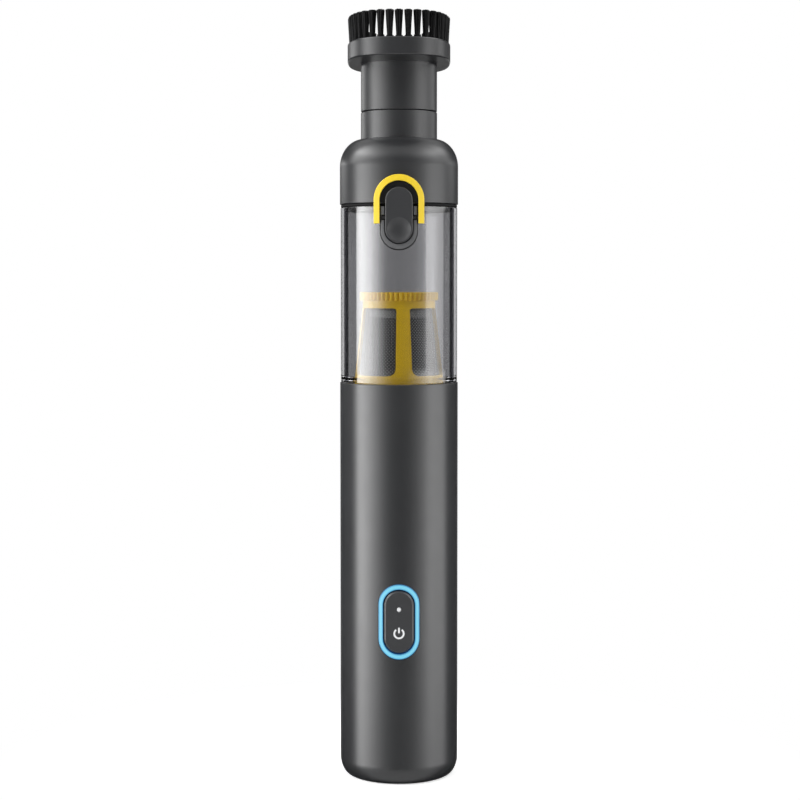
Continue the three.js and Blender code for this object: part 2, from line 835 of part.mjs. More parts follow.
function inletGrille() {
  const outer = barrelBore - fitGap;
  const inner = grilleSpigotRadius - grilleSpigotWall;
  const deck = turned([
    [inner, grilleBottom],
    [outer, grilleBottom],
    [outer, grilleTop],
    [grilleSpigotRadius, grilleTop],
    [grilleSpigotRadius, grilleTop + grilleSpigotHeight],
    [inner, grilleTop + grilleSpigotHeight],
  ], filterSides);
  const bars = Array.from({ length: grilleBars }, (_, i) => {
    const bar = block(-(inner + grilleSpigotWall / 2), inner + grilleSpigotWall / 2,
      -grilleBarWidth / 2, grilleBarWidth / 2, grilleBottom, grilleTop);
    return turnAbout(bar, (Math.PI * i) / grilleBars);
  });
  return join(deck, ...bars);
}

function motorLead(side) {
  const start = new THREE.Vector3(side * leadSpread, mainBoardBack + fitGap + leadRadius,
    upperTrayTop + fitGap + leadRadius);
  const end = new THREE.Vector3(side * leadSpread, 0, motorBottom - fitGap);
  const bend = (end.z - start.z) / 2;
  const path = new THREE.CubicBezierCurve3(start, start.clone().setZ(start.z + bend),
    end.clone().setZ(end.z - bend), end);
  const section = new THREE.Shape().absarc(0, 0, leadRadius, 0, 2 * Math.PI, false);
  const steps = roundSteps * 2;
  return solidOf(new THREE.ExtrudeGeometry(section, { steps, extrudePath: path, curveSegments: 4 }));
}

// Filter

function cageRadius(height) {
  const span = windowTop - windowBottom;
  return cageFootRadius + ((cageTopRadius - cageFootRadius) * (height - windowBottom)) / span;
}

function cageWindow() {
  const half = (radius, width) => radius * Math.sin((Math.PI / 2 - width / radius) / 2);
  const foot = half(cageFootRadius, postFootWidth);
  const top = half(cageTopRadius, postTopWidth);
  const outline = new THREE.Shape();
  outline.moveTo(-foot + windowRound, windowBottom);
  outline.lineTo(foot - windowRound, windowBottom);
  outline.quadraticCurveTo(foot, windowBottom, foot, windowBottom + windowRound);
  outline.lineTo(top, windowTop - windowRound / 2);
  outline.quadraticCurveTo(top, windowTop, top - windowRound / 2, windowTop);
  outline.lineTo(-top + windowRound / 2, windowTop);
  outline.quadraticCurveTo(-top, windowTop, -top, windowTop - windowRound / 2);
  outline.lineTo(-foot, windowBottom + windowRound);
  outline.quadraticCurveTo(-foot, windowBottom, -foot + windowRound, windowBottom);
  return frontPlate(outline, -(barrelRadius), -(pleatBoreRadius), 3);
}

function filterCage() {
  const shell = turned([
    [cageRadius(flangeTop) - cageWall, filterBottom],
    [filterFlangeRadius, filterBottom],
    [filterFlangeRadius, flangeTop],
    [cageRadius(flangeTop), flangeTop],
    [cageTopRadius, windowTop],
    [cageTopRadius, ribRingTop],
    [0, ribRingTop],
    [0, ribRingTop - lidThickness],
    [cageTopRadius - cageWall, ribRingTop - lidThickness],
    [cageTopRadius - cageWall, windowTop],
    [cageRadius(flangeTop) - cageWall, flangeTop],
  ], filterSides);
  const windows = [0, 1, 2, 3].map((i) => turnAbout(cageWindow(), Math.PI / 4 + filterTurn
    + (i * Math.PI) / 2));
  return join(cut(shell, ...windows), ribRing(ribRingBottom, ribRingTop));
}

// The toothed band round the cage's top
function ribRing(bottom, top) {
  const points = [];
  const toothTurn = (2 * Math.PI) / ribs;
  const valley = ribRingRadius - ribDepth;
  for (let i = 0; i < ribs; i += 1) {
    const start = i * toothTurn + filterTurn;
    points.push([ribRingRadius * Math.cos(start), ribRingRadius * Math.sin(start)]);
    points.push([valley * Math.cos(start + toothTurn / 2), valley * Math.sin(start + toothTurn / 2)]);
  }
  const outline = new THREE.Shape(points.map(([x, y]) => new THREE.Vector2(x, y)));
  outline.holes.push(new THREE.Path().absarc(0, 0, cageTopRadius - cageWall / 2, 0, 2 * Math.PI, false));
  const depth = top - bottom;
  const curveSegments = midSides / 2;
  const geometry = new THREE.ExtrudeGeometry(outline, { depth, bevelEnabled: false, curveSegments });
  return solidOf(geometry.translate(0, 0, bottom));
}

function meshSleeve() {
  const outerFoot = cageRadius(flangeTop) - cageWall - fitGap;
  const outerTop = cageTopRadius - cageWall - fitGap;
  const top = ribRingTop - lidThickness - fitGap;
  return turned([
    [outerFoot - sleeveWall, filterBottom + fitGap],
    [outerFoot, filterBottom + fitGap],
    [outerTop, windowTop],
    [outerTop, top],
    [outerTop - sleeveWall, top],
    [outerTop - sleeveWall, windowTop],
  ], filterSides);
}

function pleatedFilter() {
  const outline = new THREE.Shape();
  for (let i = 0; i < 2 * pleats; i += 1) {
    const radius = i % 2 ? pleatInnerRadius : pleatOuterRadius;
    const angle = (Math.PI * i) / pleats;
    const [x, y] = [radius * Math.cos(angle), radius * Math.sin(angle)];
    if (i) outline.lineTo(x, y);
    else outline.moveTo(x, y);
  }
  outline.holes.push(new THREE.Path().absarc(0, 0, pleatBoreRadius, 0, 2 * Math.PI, false));
  const bottom = filterBottom + fitGap + pleatFootHeight + trimGap;
  const geometry = new THREE.ExtrudeGeometry(outline, {
    depth: pleatRimBottom - trimGap - bottom,
    bevelEnabled: false,
    curveSegments: smallSides / 2,
  });
  return solidOf(geometry.translate(0, 0, bottom));
}

function pleatRim() {
  return disc(pleatRimRadius, pleatRimBottom, pleatRimTop, midSides);
}

function pleatFoot() {
  const outer = cageRadius(flangeTop) - cageWall - 2 * fitGap - sleeveWall;
  const bottom = filterBottom + fitGap;
  return ring(outer, pleatBoreRadius, bottom, bottom + pleatFootHeight, midSides);
}

function filterGasket() {
  const inner = grilleSpigotRadius + fitGap;
  return ring(inner + gasketWall, inner, grilleTop + fitGap, filterBottom - trimGap, filterSides);
}

// Dust cup, latch and hinge bracket

function dustCup() {
  const grooveBottom = cupBottom + cupGrooveRise;
  const body = turned([
    [cupSpigotBore, cupBottom],
    [cupSpigotRadius, cupBottom],
    [cupSpigotRadius, grooveBottom],
    [cupSpigotRadius - cupGrooveDepth, grooveBottom],
    [cupSpigotRadius - cupGrooveDepth, grooveBottom + cupGrooveHeight],
    [cupSpigotRadius, grooveBottom + cupGrooveHeight],
    [cupSpigotRadius, cupShoulder],
    [cupRadius, cupShoulder],
    [cupRadius, cupTop],
    [cupBore, cupTop],
    [cupBore, cupShoulder + cupStepHeight],
    [cupSpigotBore, cupShoulder],
  ]);
  const notch = frontPlate(
    cupOutline(latchWidth + 2 * fitGap, latchBottom - fitGap, cupTop + cutOverrun),
    -(barrelRadius + cutOverrun), latchFloorBack);
  return cut(body, notch);
}

function cupSeal() {
  const bottom = cupBottom + cupGrooveRise + sealSlack;
  const inner = cupSpigotRadius - cupGrooveDepth + sealSlack;
  return ring(cupSpigotRadius + sealProud, inner, bottom, bottom + cupGrooveHeight - 2 * sealSlack);
}

function latchBase() {
  const body = frontPlate(cupOutline(latchWidth, latchBottom, cupTop - fitGap),
    latchFront - cutOverrun, latchFloorBack);
  const rounded = body.intersect(disc(-latchFront, 0, cupTop));
  const well = frontPlate(cupOutline(leverWidth + 2 * fitGap, leverBottom - fitGap,
    cupTop + cutOverrun), latchFront - cutOverrun, latchFloorFront);
  const pinSlot = block(-latchWidth / 2 + trimGap, latchWidth / 2 - trimGap, latchFront - cutOverrun,
    pivotDepth, pivotHeight - pivotPinRadius - trimGap, pivotHeight + pivotPinRadius + trimGap);
  const pinSeat = crossPin(pivotPinRadius + trimGap, -latchWidth / 2 + trimGap, latchWidth / 2 - trimGap,
    pivotDepth, pivotHeight);
  return cut(rounded, well, pinSlot, pinSeat);
}

function latchPin() {
  return crossPin(pivotPinRadius, -latchWidth / 2 + 2 * trimGap, latchWidth / 2 - 2 * trimGap,
    pivotDepth, pivotHeight);
}

function latchLever() {
  const centre = (leverTop + leverBottom) / 2;
  const body = bevelledPlate(capsule(leverWidth, leverHeight, centre), leverFront, leverBack, leverBevel);
  const bowl = (dimpleRadius ** 2 + dimpleDepth ** 2) / (2 * dimpleDepth);
  const reach = Math.asin(dimpleRadius / bowl);
  const profile = arcPoints(0, 0, bowl, bowl, -Math.PI / 2, -Math.PI / 2 + reach, 3);
  const dish = turned([[0, -bowl + cutOverrun], ...profile, [dimpleRadius, -bowl + cutOverrun]], smallSides);
  const placed = dish.rotate([90, 0, 0]).translate([0, leverFront + dimpleDepth - bowl,
    leverBottom + dimpleRise]);
  const hub = crossPin(hubRadius, -leverWidth / 2 + leverBevel, leverWidth / 2 - leverBevel,
    pivotDepth, pivotHeight);
  const pinHole = crossPin(pivotPinRadius + fitGap, -leverWidth, leverWidth, pivotDepth, pivotHeight);
  const springPocket = block(-springPocketHalf, springPocketHalf, pivotDepth,
    pivotDepth + hubRadius + cutOverrun, pivotHeight - springReach, pivotHeight + springReach);
  const springBore = crossPin(springReach, -springPocketHalf, springPocketHalf, pivotDepth, pivotHeight);
  return cut(join(body, hub), placed, pinHole, springPocket, springBore);
}

class SpringPath extends THREE.Curve {
  getPoint(share, target = new THREE.Vector3()) {
    const angle = share * springTurns * 2 * Math.PI;
    return target.set((share - 1 / 2) * springTurns * springPitch,
      pivotDepth + springRadius * Math.cos(angle), pivotHeight + springRadius * Math.sin(angle));
  }
}

function latchSpring() {
  const section = new THREE.Shape().absarc(0, 0, springWire, 0, 2 * Math.PI, false);
  return solidOf(new THREE.ExtrudeGeometry(section, {
    steps: springTurns * springSteps,
    extrudePath: new SpringPath(),
    curveSegments: 3,
  }));
}

function hingeBracket() {
  const half = hingeHalfWidth + bracketMargin;
  const shell = ring(barrelRadius + bracketWall, barrelRadius, bracketBottom, bracketTop);
  const plate = shell.intersect(block(-half, half, 0, barrelRadius + cutOverrun, 0, cupTop));
  const ears = [-1, 1].map((side) => hingeEar(side));
  const pinHole = crossPin(hingePinRadius + hingePinGap, -half - cutOverrun, half + cutOverrun,
    hingeDepth, hingeHeight);
  return cut(join(plate, ...ears), pinHole);
}

function hingeEar(side) {
  const inner = knuckleWidth / 2 + fitGap;
  const x0 = side > 0 ? inner : -inner - earWidth;
  const head = crossPin(knuckleRadius, x0, x0 + earWidth, hingeDepth, hingeHeight, midSides / 2);
  const stem = block(x0, x0 + earWidth, hingeDepth - knuckleRadius, hingeDepth + knuckleRadius,
    bracketTop - 2 * knuckleRadius, hingeHeight);
  const root = block(x0, x0 + earWidth, cupRadius, hingeDepth + knuckleRadius,
    bracketTop - 3 * knuckleRadius, bracketTop - knuckleRadius);
  const clear = disc(barrelRadius, 0, hingeHeight);
  return cut(join(head, stem, root), clear);
}

function hingePin() {
  return crossPin(hingePinRadius, -hingeHalfWidth, hingeHalfWidth, hingeDepth, hingeHeight);
}

// Nozzle cap

function nozzleCap() {
  const outer = arcPoints(shoulderCentreRadius, shoulderCentre, shoulderWidth, shoulderHeight,
    0, Math.PI / 2 - shoulderMeet, roundSteps + 1);
  const inner = arcPoints(shoulderCentreRadius, shoulderCentre - capWall / 2, shoulderWidth - capWall,
    shoulderHeight - capWall, Math.PI / 2 - shoulderMeet, 0, roundSteps - 1);
  const shell = turned([
    [capLipRadius, capBottom],
    [barrelRadius - seamChamfer, capBottom],
    [barrelRadius, capBottom + seamChamfer],
    ...outer,
    [spoutRadius, spoutTop],
    [spoutBore, spoutTop],
    [spoutBore, spoutTubeBottom],
    [spoutTubeRadius, spoutTubeBottom],
    ...inner,
    [barrelBore, capBottom + capLipHeight + capWall],
    [capLipRadius, capBottom + capLipHeight],
  ]);
  const wellBlock = frontPlate(archOutline(wellWidth + 2 * wellWall, capBottom,
    wellTop + wellWall), -barrelRadius, latchFloorBack).intersect(disc(barrelRadius - capWall / 2,
    0, shoulderTop));
  const well = frontPlate(archOutline(wellWidth, capBottom - cutOverrun, wellTop),
    -(barrelRadius + cutOverrun), latchFloorFront);
  return cut(join(shell, wellBlock, hingeKnuckle()), well, hingeBore());
}

function hingeKnuckle() {
  const half = knuckleWidth / 2;
  const round = crossPin(knuckleRadius, -half, half, hingeDepth, hingeHeight, midSides / 2);
  const web = block(-half, half, barrelRadius - capWall / 2, hingeDepth, capBottom,
    hingeHeight + knuckleRadius);
  return join(round, web);
}

function hingeBore() {
  const half = knuckleWidth / 2 + cutOverrun;
  return crossPin(hingePinRadius + hingePinGap, -half, half, hingeDepth, hingeHeight);
}

function capSeal() {
  const band = ring(capSealRadius, capLipRadius, capSealBottom, capSealBottom + capSealThickness);
  const well = frontPlate(archOutline(wellWidth, 0, wellTop), -(barrelRadius + cutOverrun),
    latchFloorFront);
  return cut(band, well);
}

function archTrim() {
  const outline = archOutline(archWidth, archLegBottom, archTop);
  const hole = new THREE.Path();
  const radius = wellWidth / 2;
  hole.absarc(0, wellTop - radius, radius, 0, Math.PI, false);
  hole.lineTo(-radius, 0);
  hole.lineTo(radius, 0);
  const inside = frontPlate(new THREE.Shape(hole.getPoints(smallSides)), -(barrelRadius + cutOverrun), 0);
  const plate = frontPlate(outline, -(barrelRadius + cutOverrun), 0);
  const skin = ring(barrelRadius + fitGap + archRaise, barrelRadius + fitGap, archLegBottom - cutOverrun,
    archTop + cutOverrun);
  return cut(plate, inside).intersect(skin);
}

function inletFlap() {
  return disc(flapRadius, flapTop - flapThickness, flapTop, midSides);
}

// Brush nozzle

function nozzleRing() {
  const inner = nozzleSpigotRadius - nozzleGrooveDepth + sealSlack;
  const bottom = nozzleBottom + nozzleGrooveRise + sealSlack;
  return ring(nozzleSpigotRadius + sealProud, inner, bottom, bottom + nozzleGrooveHeight - 2 * sealSlack);
}

function brushNozzle() {
  const grooveBottom = nozzleBottom + nozzleGrooveRise;
  const neck = turned([
    [0, nozzleBottom],
    [nozzleSpigotRadius, nozzleBottom],
    [nozzleSpigotRadius, grooveBottom],
    [nozzleSpigotRadius - nozzleGrooveDepth, grooveBottom],
    [nozzleSpigotRadius - nozzleGrooveDepth, grooveBottom + nozzleGrooveHeight],
    [nozzleSpigotRadius, grooveBottom + nozzleGrooveHeight],
    [nozzleSpigotRadius, neckBottom],
    [neckRadius - seamChamfer, neckBottom],
    [neckRadius, neckBottom + seamChamfer],
    [neckRadius, collarBottom + collarHeight / 2],
    [0, collarBottom + collarHeight / 2],
  ]);
  const edge = oval(collarHalfWidth, collarHalfDepth).map(([x, y]) => new THREE.Vector2(x, y));
  const collar = solidOf(new THREE.ExtrudeGeometry(new THREE.Shape(edge), {
    depth: collarHeight - 2 * collarBevel,
    bevelEnabled: true,
    bevelThickness: collarBevel,
    bevelSize: collarBevel,
    bevelOffset: -collarBevel,
    bevelSegments: 1,
  }).translate(0, 0, collarBottom + collarBevel));
  const mouth = floorPlate(oval(mouthHalfWidth, mouthHalfDepth, midSides), collarTop - mouthDepth,
    collarTop + cutOverrun);
  const duct = disc(nozzleBore, nozzleBottom - cutOverrun, collarTop + cutOverrun, filterSides);
  return cut(join(neck, collar), mouth, duct, stripGroove());
}

function stripGroove() {
  const outer = insetOval(stripInset - trimGap);
  const inner = insetOval(stripInset + stripWidth + trimGap);
  const bottom = stripBottom - trimGap;
  return cut(floorPlate(outer, bottom, collarTop + cutOverrun),
    floorPlate(inner, bottom - cutOverrun, collarTop + 2 * cutOverrun));
}

function insetOval(inset) {
  return oval(collarHalfWidth - inset, collarHalfDepth - inset);
}

// Angles that space the tufts evenly along one half of the oval
function evenAngles(start, end, count) {
  const fine = collarSides * 10;
  const lengths = [0];
  const angles = [start];
  const at = (angle) => ovalPoint(angle, collarHalfWidth - tuftInset, collarHalfDepth - tuftInset);
  for (let i = 1; i <= fine; i += 1) {
    const angle = start + ((end - start) * i) / fine;
    const [x0, y0] = at(angles[i - 1]);
    const [x1, y1] = at(angle);
    lengths.push(lengths[i - 1] + Math.hypot(x1 - x0, y1 - y0));
    angles.push(angle);
  }
  return Array.from({ length: count }, (_, i) => {
    const goal = (lengths[fine] * i) / count;
    const k = Math.max(1, lengths.findIndex((length) => length >= goal));
    const share = (goal - lengths[k - 1]) / (lengths[k] - lengths[k - 1]);
    return angles[k - 1] + share * (angles[k] - angles[k - 1]);
  });
}

function tuftAngles() {
  return [
    ...evenAngles(Math.PI, 2 * Math.PI, frontTufts),
    ...evenAngles(2 * Math.PI, 3 * Math.PI, rearTufts),
  ];
}

function strand(foot, tip) {
  const axis = tip.clone().sub(foot);
  const geometry = new THREE.CylinderGeometry(strandTipRadius, strandFootRadius, axis.length(), 3, 1);
  geometry.translate(0, axis.length() / 2, 0);
  geometry.applyQuaternion(new THREE.Quaternion().setFromUnitVectors(new THREE.Vector3(0, 1, 0),
    axis.normalize()));
  geometry.translate(foot.x, foot.y, foot.z);
  return solidOf(geometry);
}

function tuft(angle) {
  const [x, y] = ovalPoint(angle, collarHalfWidth - tuftInset, collarHalfDepth - tuftInset);
  const foot = new THREE.Vector3(x, y, collarTop - bristleRoot);
  const tip = new THREE.Vector3(x, y, collarTop + bristleLength);
  const strands = [strand(foot, tip)];
  for (let i = 0; i < strandsRound; i += 1) {
    const turn = (2 * Math.PI * i) / strandsRound;
    const lean = new THREE.Vector3(Math.cos(turn), Math.sin(turn), 0);
    const low = foot.clone().addScaledVector(lean, tuftFootRadius);
    const high = tip.clone().addScaledVector(lean, tuftTipRadius);
    high.z -= tipDrop;
    strands.push(strand(low, high));
  }
  return strands;
}

// One quarter of the bristle strip with its tufts, between two angles on the oval
function bristleStrip(quarter) {
  const angles = tuftAngles();
  const frontFirst = (frontTufts - frontStripTufts + 1) / 2;
  const rearFirst = frontTufts + (rearTufts - rearStripTufts + 1) / 2;
  const bounds = [frontFirst, frontFirst + frontStripTufts, rearFirst, rearFirst + rearStripTufts];
  const first = bounds[(quarter + 3) % 4];
  const last = bounds[quarter];
  const count = (last - first + angles.length) % angles.length;
  const unwrapped = (i) => angles[i % angles.length] + (i >= angles.length ? 2 * Math.PI : 0);
  const start = (unwrapped(first) + unwrapped(first + angles.length - 1) - 2 * Math.PI) / 2;
  const end = (unwrapped(first + count) + unwrapped(first + count - 1)) / 2;
  const trim = fitGap / collarHalfWidth;
  const steps = smallSides;
  const edge = (inset, reverse) => Array.from({ length: steps + 1 }, (_, i) => {
    const share = reverse ? 1 - i / steps : i / steps;
    const angle = start + trim + (end - start - 2 * trim) * share;
    return ovalPoint(angle, collarHalfWidth - inset, collarHalfDepth - inset);
  });
  const slice = floorPlate([...edge(stripInset, false), ...edge(stripInset + stripWidth, true)],
    stripBottom, collarTop);
  const strands = Array.from({ length: count }, (_, i) => tuft(unwrapped(first + i))).flat();
  return join(slice, ...strands);
}

// Scene

function finish(color, roughness, metalness = 0, more = {}) {
  return new THREE.MeshStandardMaterial({ color, roughness, metalness, ...more });
}

const darkPlastic = () => finish('#4b4c4f', 0.5);
const blackPlastic = () => finish('#202123', 0.55);
const yellowPlastic = () => finish('#f4cf36', 0.4);
const rubber = () => finish('#141415', 0.85);
const steel = () => finish('#b4b6b8', 0.3, 1);
const board = () => finish('#1d5f3c', 0.6);

// A group whose origin is at the given place, inside its parent group
function groupAt(parent, x, y, z) {
  const group = new THREE.Group();
  group.userData.place = new THREE.Vector3(x, y, z);
  const parentPlace = parent.userData.place ?? new THREE.Vector3();
  group.position.copy(group.userData.place).sub(parentPlace);
  parent.add(group);
  return group;
}

function add(group, name, solid, material) {
  const { x, y, z } = group.userData.place;
  const mesh = new THREE.Mesh(geometryOf(solid).translate(-x, -y, -z), material);
  mesh.name = name;
  group.add(mesh);
}

const vacuum = new THREE.Group();
const handle = groupAt(vacuum, 0, 0, 0);
add(handle, 'handle_casing', handleCasing(), darkPlastic());
add(handle, 'light_ring', lightRing(), finish('#7fd3f5', 0.35, 0, { emissive: '#5ac8f0' }));
add(handle, 'button_carrier', buttonCarrier(), blackPlastic());
add(handle, 'tactile_switch', tactileSwitch(), blackPlastic());
add(handle, 'main_board', mainBoard(), board());
add(handle, 'charging_board', chargingBoard(), board());
add(handle, 'charging_socket', chargingSocket(), steel());
cellPlaces().forEach((place, i) => {
  add(handle, `battery_cell_${i + 1}`, batteryCell(place), finish('#2f6fa8', 0.4));
});
add(handle, 'lower_battery_tray', lowerTray(), blackPlastic());
add(handle, 'upper_battery_tray', upperTray(), blackPlastic());
screwPlaces().forEach((place, i) => {
  add(handle, `tray_screw_${i + 1}`, trayScrew(place), steel());
});
add(handle, 'motor_can', motorCan(), steel());
add(handle, 'motor_cradle', motorCradle(), rubber());
add(handle, 'motor_mount', motorMount(), blackPlastic());
add(handle, 'fan_shroud', fanShroud(), blackPlastic());
add(handle, 'inlet_grille', inletGrille(), darkPlastic());
add(handle, 'motor_lead_left', motorLead(-1), finish('#b3261e', 0.6));
add(handle, 'motor_lead_right', motorLead(1), finish('#202020', 0.6));

const fan = groupAt(handle, 0, 0, impellerBottom);
add(fan, 'impeller', impeller(), finish('#d8dadb', 0.4));
add(fan, 'motor_shaft', motorShaft(), steel());

const button = groupAt(handle, 0, buttonFront, buttonCentreHeight);
add(button, 'power_button', powerButton(), finish('#45464a', 0.45));
add(button, 'status_lens', dotSolid(statusDotRadius, statusDotDepth), finish('#f2f2f2', 0.4));

const filter = groupAt(handle, 0, 0, filterBottom);
add(filter, 'filter_cage', filterCage(), yellowPlastic());
add(filter, 'mesh_sleeve', meshSleeve(), finish('#8d9092', 0.6));
add(filter, 'pleated_filter', pleatedFilter(), finish('#3c3d40', 0.9));
add(filter, 'pleat_rim', pleatRim(), finish('#6d7072', 0.6));
add(filter, 'pleat_foot', pleatFoot(), finish('#6d7072', 0.6));
add(filter, 'filter_gasket', filterGasket(), rubber());

const cup = groupAt(handle, 0, 0, cupBottom);
add(cup, 'dust_cup', dustCup(), finish('#9a9da0', 0.08, 0, { transparent: true, opacity: 0.35 }));
add(cup, 'cup_seal', cupSeal(), rubber());
add(cup, 'latch_base', latchBase(), darkPlastic());
add(cup, 'latch_pin', latchPin(), blackPlastic());
add(cup, 'latch_spring', latchSpring(), steel());
add(cup, 'hinge_bracket', hingeBracket(), darkPlastic());
add(cup, 'hinge_pin', hingePin(), steel());

const lever = groupAt(cup, 0, pivotDepth, pivotHeight);
add(lever, 'latch_lever', latchLever(), darkPlastic());

const cap = groupAt(cup, 0, hingeDepth, hingeHeight);
add(cap, 'nozzle_cap', nozzleCap(), darkPlastic());
add(cap, 'cap_seal', capSeal(), rubber());
add(cap, 'arch_trim', archTrim(), yellowPlastic());

const flap = groupAt(cap, 0, flapRadius, flapTop);
add(flap, 'inlet_flap', inletFlap(), rubber());

const nozzle = groupAt(cap, 0, 0, nozzleBottom);
add(nozzle, 'nozzle_seal', nozzleRing(), rubber());

const brush = groupAt(nozzle, 0, 0, nozzleBottom);
add(brush, 'brush_nozzle', brushNozzle(), darkPlastic());
['left', 'front', 'right', 'rear'].forEach((name, i) => {
  add(brush, `bristle_strip_${name}`, bristleStrip(i), finish('#0d0d0e', 0.8));
});

export default vacuum;
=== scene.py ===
"""Looks of a cordless car vacuum cleaner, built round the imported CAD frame.

The frame is in metres: +Z runs up the barrel, -Y is the front with the button. Sizes here are in
millimetres, except the camera's place and the floor's fade, which are in metres."""

import math
import random

import bmesh
import bpy
import numpy
from mathutils import Matrix, Vector


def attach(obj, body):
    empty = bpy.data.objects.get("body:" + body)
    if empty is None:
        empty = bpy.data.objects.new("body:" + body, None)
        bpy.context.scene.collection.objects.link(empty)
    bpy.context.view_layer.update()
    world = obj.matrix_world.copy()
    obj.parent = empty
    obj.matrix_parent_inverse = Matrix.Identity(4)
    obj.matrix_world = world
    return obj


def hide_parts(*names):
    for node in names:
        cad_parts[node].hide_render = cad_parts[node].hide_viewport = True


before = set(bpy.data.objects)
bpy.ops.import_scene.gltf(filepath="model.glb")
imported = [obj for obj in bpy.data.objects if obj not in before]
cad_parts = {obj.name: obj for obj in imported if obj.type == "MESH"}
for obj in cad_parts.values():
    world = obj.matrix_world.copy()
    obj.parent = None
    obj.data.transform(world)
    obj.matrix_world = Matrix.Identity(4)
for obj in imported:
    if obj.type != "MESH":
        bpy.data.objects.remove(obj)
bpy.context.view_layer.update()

MM = 0.001
FIT_GAP = 0.3
TRIM_GAP = 0.2
OVERRUN = 2.0
FINE_EDGE = 0.2
EDGE = 0.3
LIP_EDGE = 0.4
SOFT_EDGE = 0.5

# Barrel
BARREL_RADIUS = 27.5
BARREL_BORE = 25.5
BARREL_TOP = 184.2
BEFORE_BARREL = -BARREL_RADIUS - OVERRUN
FOOT_ROUND = (4.6, 8.4)
FOOT_THICKNESS = 2.5
LEDGE_TOP = 167.4
LEDGE_WIDTH = 1.9
LEDGE_HEIGHT = 4.0
SLOT_SIZE = (2.0, 9.0)
SLOT_ROWS = (121.0, 133.0, 145.0)
SLOT_TURNS = (-30, -15, 0, 15, 30)
PORT_SIZE = (10.0, 4.6)
PORT_CENTRE = 14.4
# Posts in the foot: distance from the axis, radius, top
POSTS = ((19.5, 2.6, 20.7), (6.0, 2.2, 10.55))
POST_FOOT = 1.25

# Light ring and power button
BUTTON_CENTRE = 75.9
RING_OUTER = (18.8, 34.5)
RING_INNER = (14.5, 29.7)
RING_RADIUS = 27.65
RING_BACK = -23.45
RING_ROUND = 0.3
RING_CURVE = (0.4, 0.8, 1.2)
RING_STEPS = 12
BUTTON_SIZE = (13.5, 28.7)
BUTTON_FRONT = -28.0
BUTTON_BACK = -25.0
# Insets of the button's edge, and how far behind its front
BUTTON_EDGE = ((0.85, 0.0), (0.68, 0.06), (0.04, 0.7225), (0.0, 0.85))
STEM_RADIUS = 2.0
STEM = (-26.0, -21.43)
LENS_RADIUS = 1.0
LENS_CENTRE = 81.7
LENS_FRONT = -28.05
LENS_BACK = -26.85
LENS_CROWN = 0.25
SYMBOL_CENTRE = 70.7
SYMBOL_RADIUS = 2.15
SYMBOL_STROKE = 0.8
SYMBOL_GAP = math.radians(36)
SYMBOL_BAR = 2.7
SYMBOL_BAR_STEPS = 8
SYMBOL_PROUD = 0.03
SYMBOL_ROOT = 0.1

# Filter
FILTER_BOTTOM = 177.8
FLANGE_TOP = 181.0
FLANGE_RADIUS = 23.3
FLANGE_FILLET = 0.6
CAGE_FOOT_RADIUS = 20.4
CAGE_TOP_RADIUS = 16.9
CAGE_WALL = 1.5
WINDOW_BOTTOM = 187.7
WINDOW_TOP = 218.8
# Half the window's width, height and rounding at its foot and its top
WINDOW_CORNERS = ((11.5, WINDOW_BOTTOM, 3.0), (9.65, WINDOW_TOP, 1.4))
WINDOW_ROUND_STEPS = 8
WINDOW_REACH = 8.0
FILTER_TURN = 0.11
RIB_RADIUS = 18.3
RIB_BOTTOM = 222.3
RIB_TOP = 226.1
RIB_DEPTH = 1.2
RIBS = 52
RIB_STEPS = 8
RIB_POWER = 0.7
# Insets of the toothed band's ends, after their distance from the end
RIB_EDGE = ((0.0, 0.35), (0.12, 0.12), (0.4, 0.0))
RIB_SINK = 0.02
LID_THICKNESS = 1.4
SLEEVE_WALL = 0.5
PLEATS = 28
PLEAT_STEPS = 10
PLEAT_SHARPNESS = 0.96
PLEAT_LEVELS = 8
PLEAT_OUTER = 13.4
PLEAT_INNER = 10.4
PLEAT_BORE = 8.0
PLEAT_BOTTOM = 180.3
PLEAT_TOP = 214.2
PLEAT_RIM_RADIUS = 14.2
PLEAT_RIM = (214.4, 218.0)
PLEAT_FOOT = (178.1, 180.1)

# Dust cup
CUP_RADIUS = 27.2
CUP_BORE = 25.0
CUP_BOTTOM = 177.3
CUP_SHOULDER = 184.5
CUP_TOP = 265.3
SPIGOT_RADIUS = 25.2
SPIGOT_BORE = 23.6
STEP_HEIGHT = 2.6
STEP_ROUND = 2.4
GROOVE_DEPTH = 0.8
GROOVE_RISE = 2.4
GROOVE_HEIGHT = 2.0
SEAL_PROUD = 0.15
SEAL_SLACK = 0.1
SEAL_STEP = 0.1
SEAL_CORNER = 0.15

# Latch
LATCH_OUTER = (16.6, 245.6)
LATCH_INNER = (13.1, 248.0)
LATCH_TOP = 265.0
LATCH_RADIUS = 28.0
LATCH_EDGE = 0.35
LATCH_BEVEL = 0.3
# A thin dark band round the latch's surround, a painted shadow line for the shade in the gap between the
# surround and the cup: share of the way across, radius
LATCH_SHADOW_LINE = ((0.94, 27.05), (0.94, 27.7), (1.08, 27.7), (1.17, 27.6), (1.21, 27.45), (1.21, 27.05))
LATCH_FLOOR = (14.1, 247.5)
LATCH_FLOOR_FRONT = -23.5
LATCH_FLOOR_BACK = -21.9
LEVER_SIZE = (12.5, 25.5)
LEVER_CENTRE = 261.05
LEVER_FRONT = -28.8
LEVER_BACK = -25.6
LEVER_ROUND = 0.6
LEVER_BEVEL = 0.2
DIMPLE_RADIUS = 5.5
DIMPLE_DEPTH = 1.4
DIMPLE_CENTRE = 254.6
DIMPLE_REACH = 1.2
DIMPLE_TIP = 0.004
DIMPLE_STEPS = 16
PIVOT = (-26.1, 260.0)
PIN_RADIUS = 1.0
PIN_HALF = 7.9
PIN_EDGE = 0.2
HUB_RADIUS = 2.2
SPRING_REACH = 2.1
SPRING_HALF = 2.35

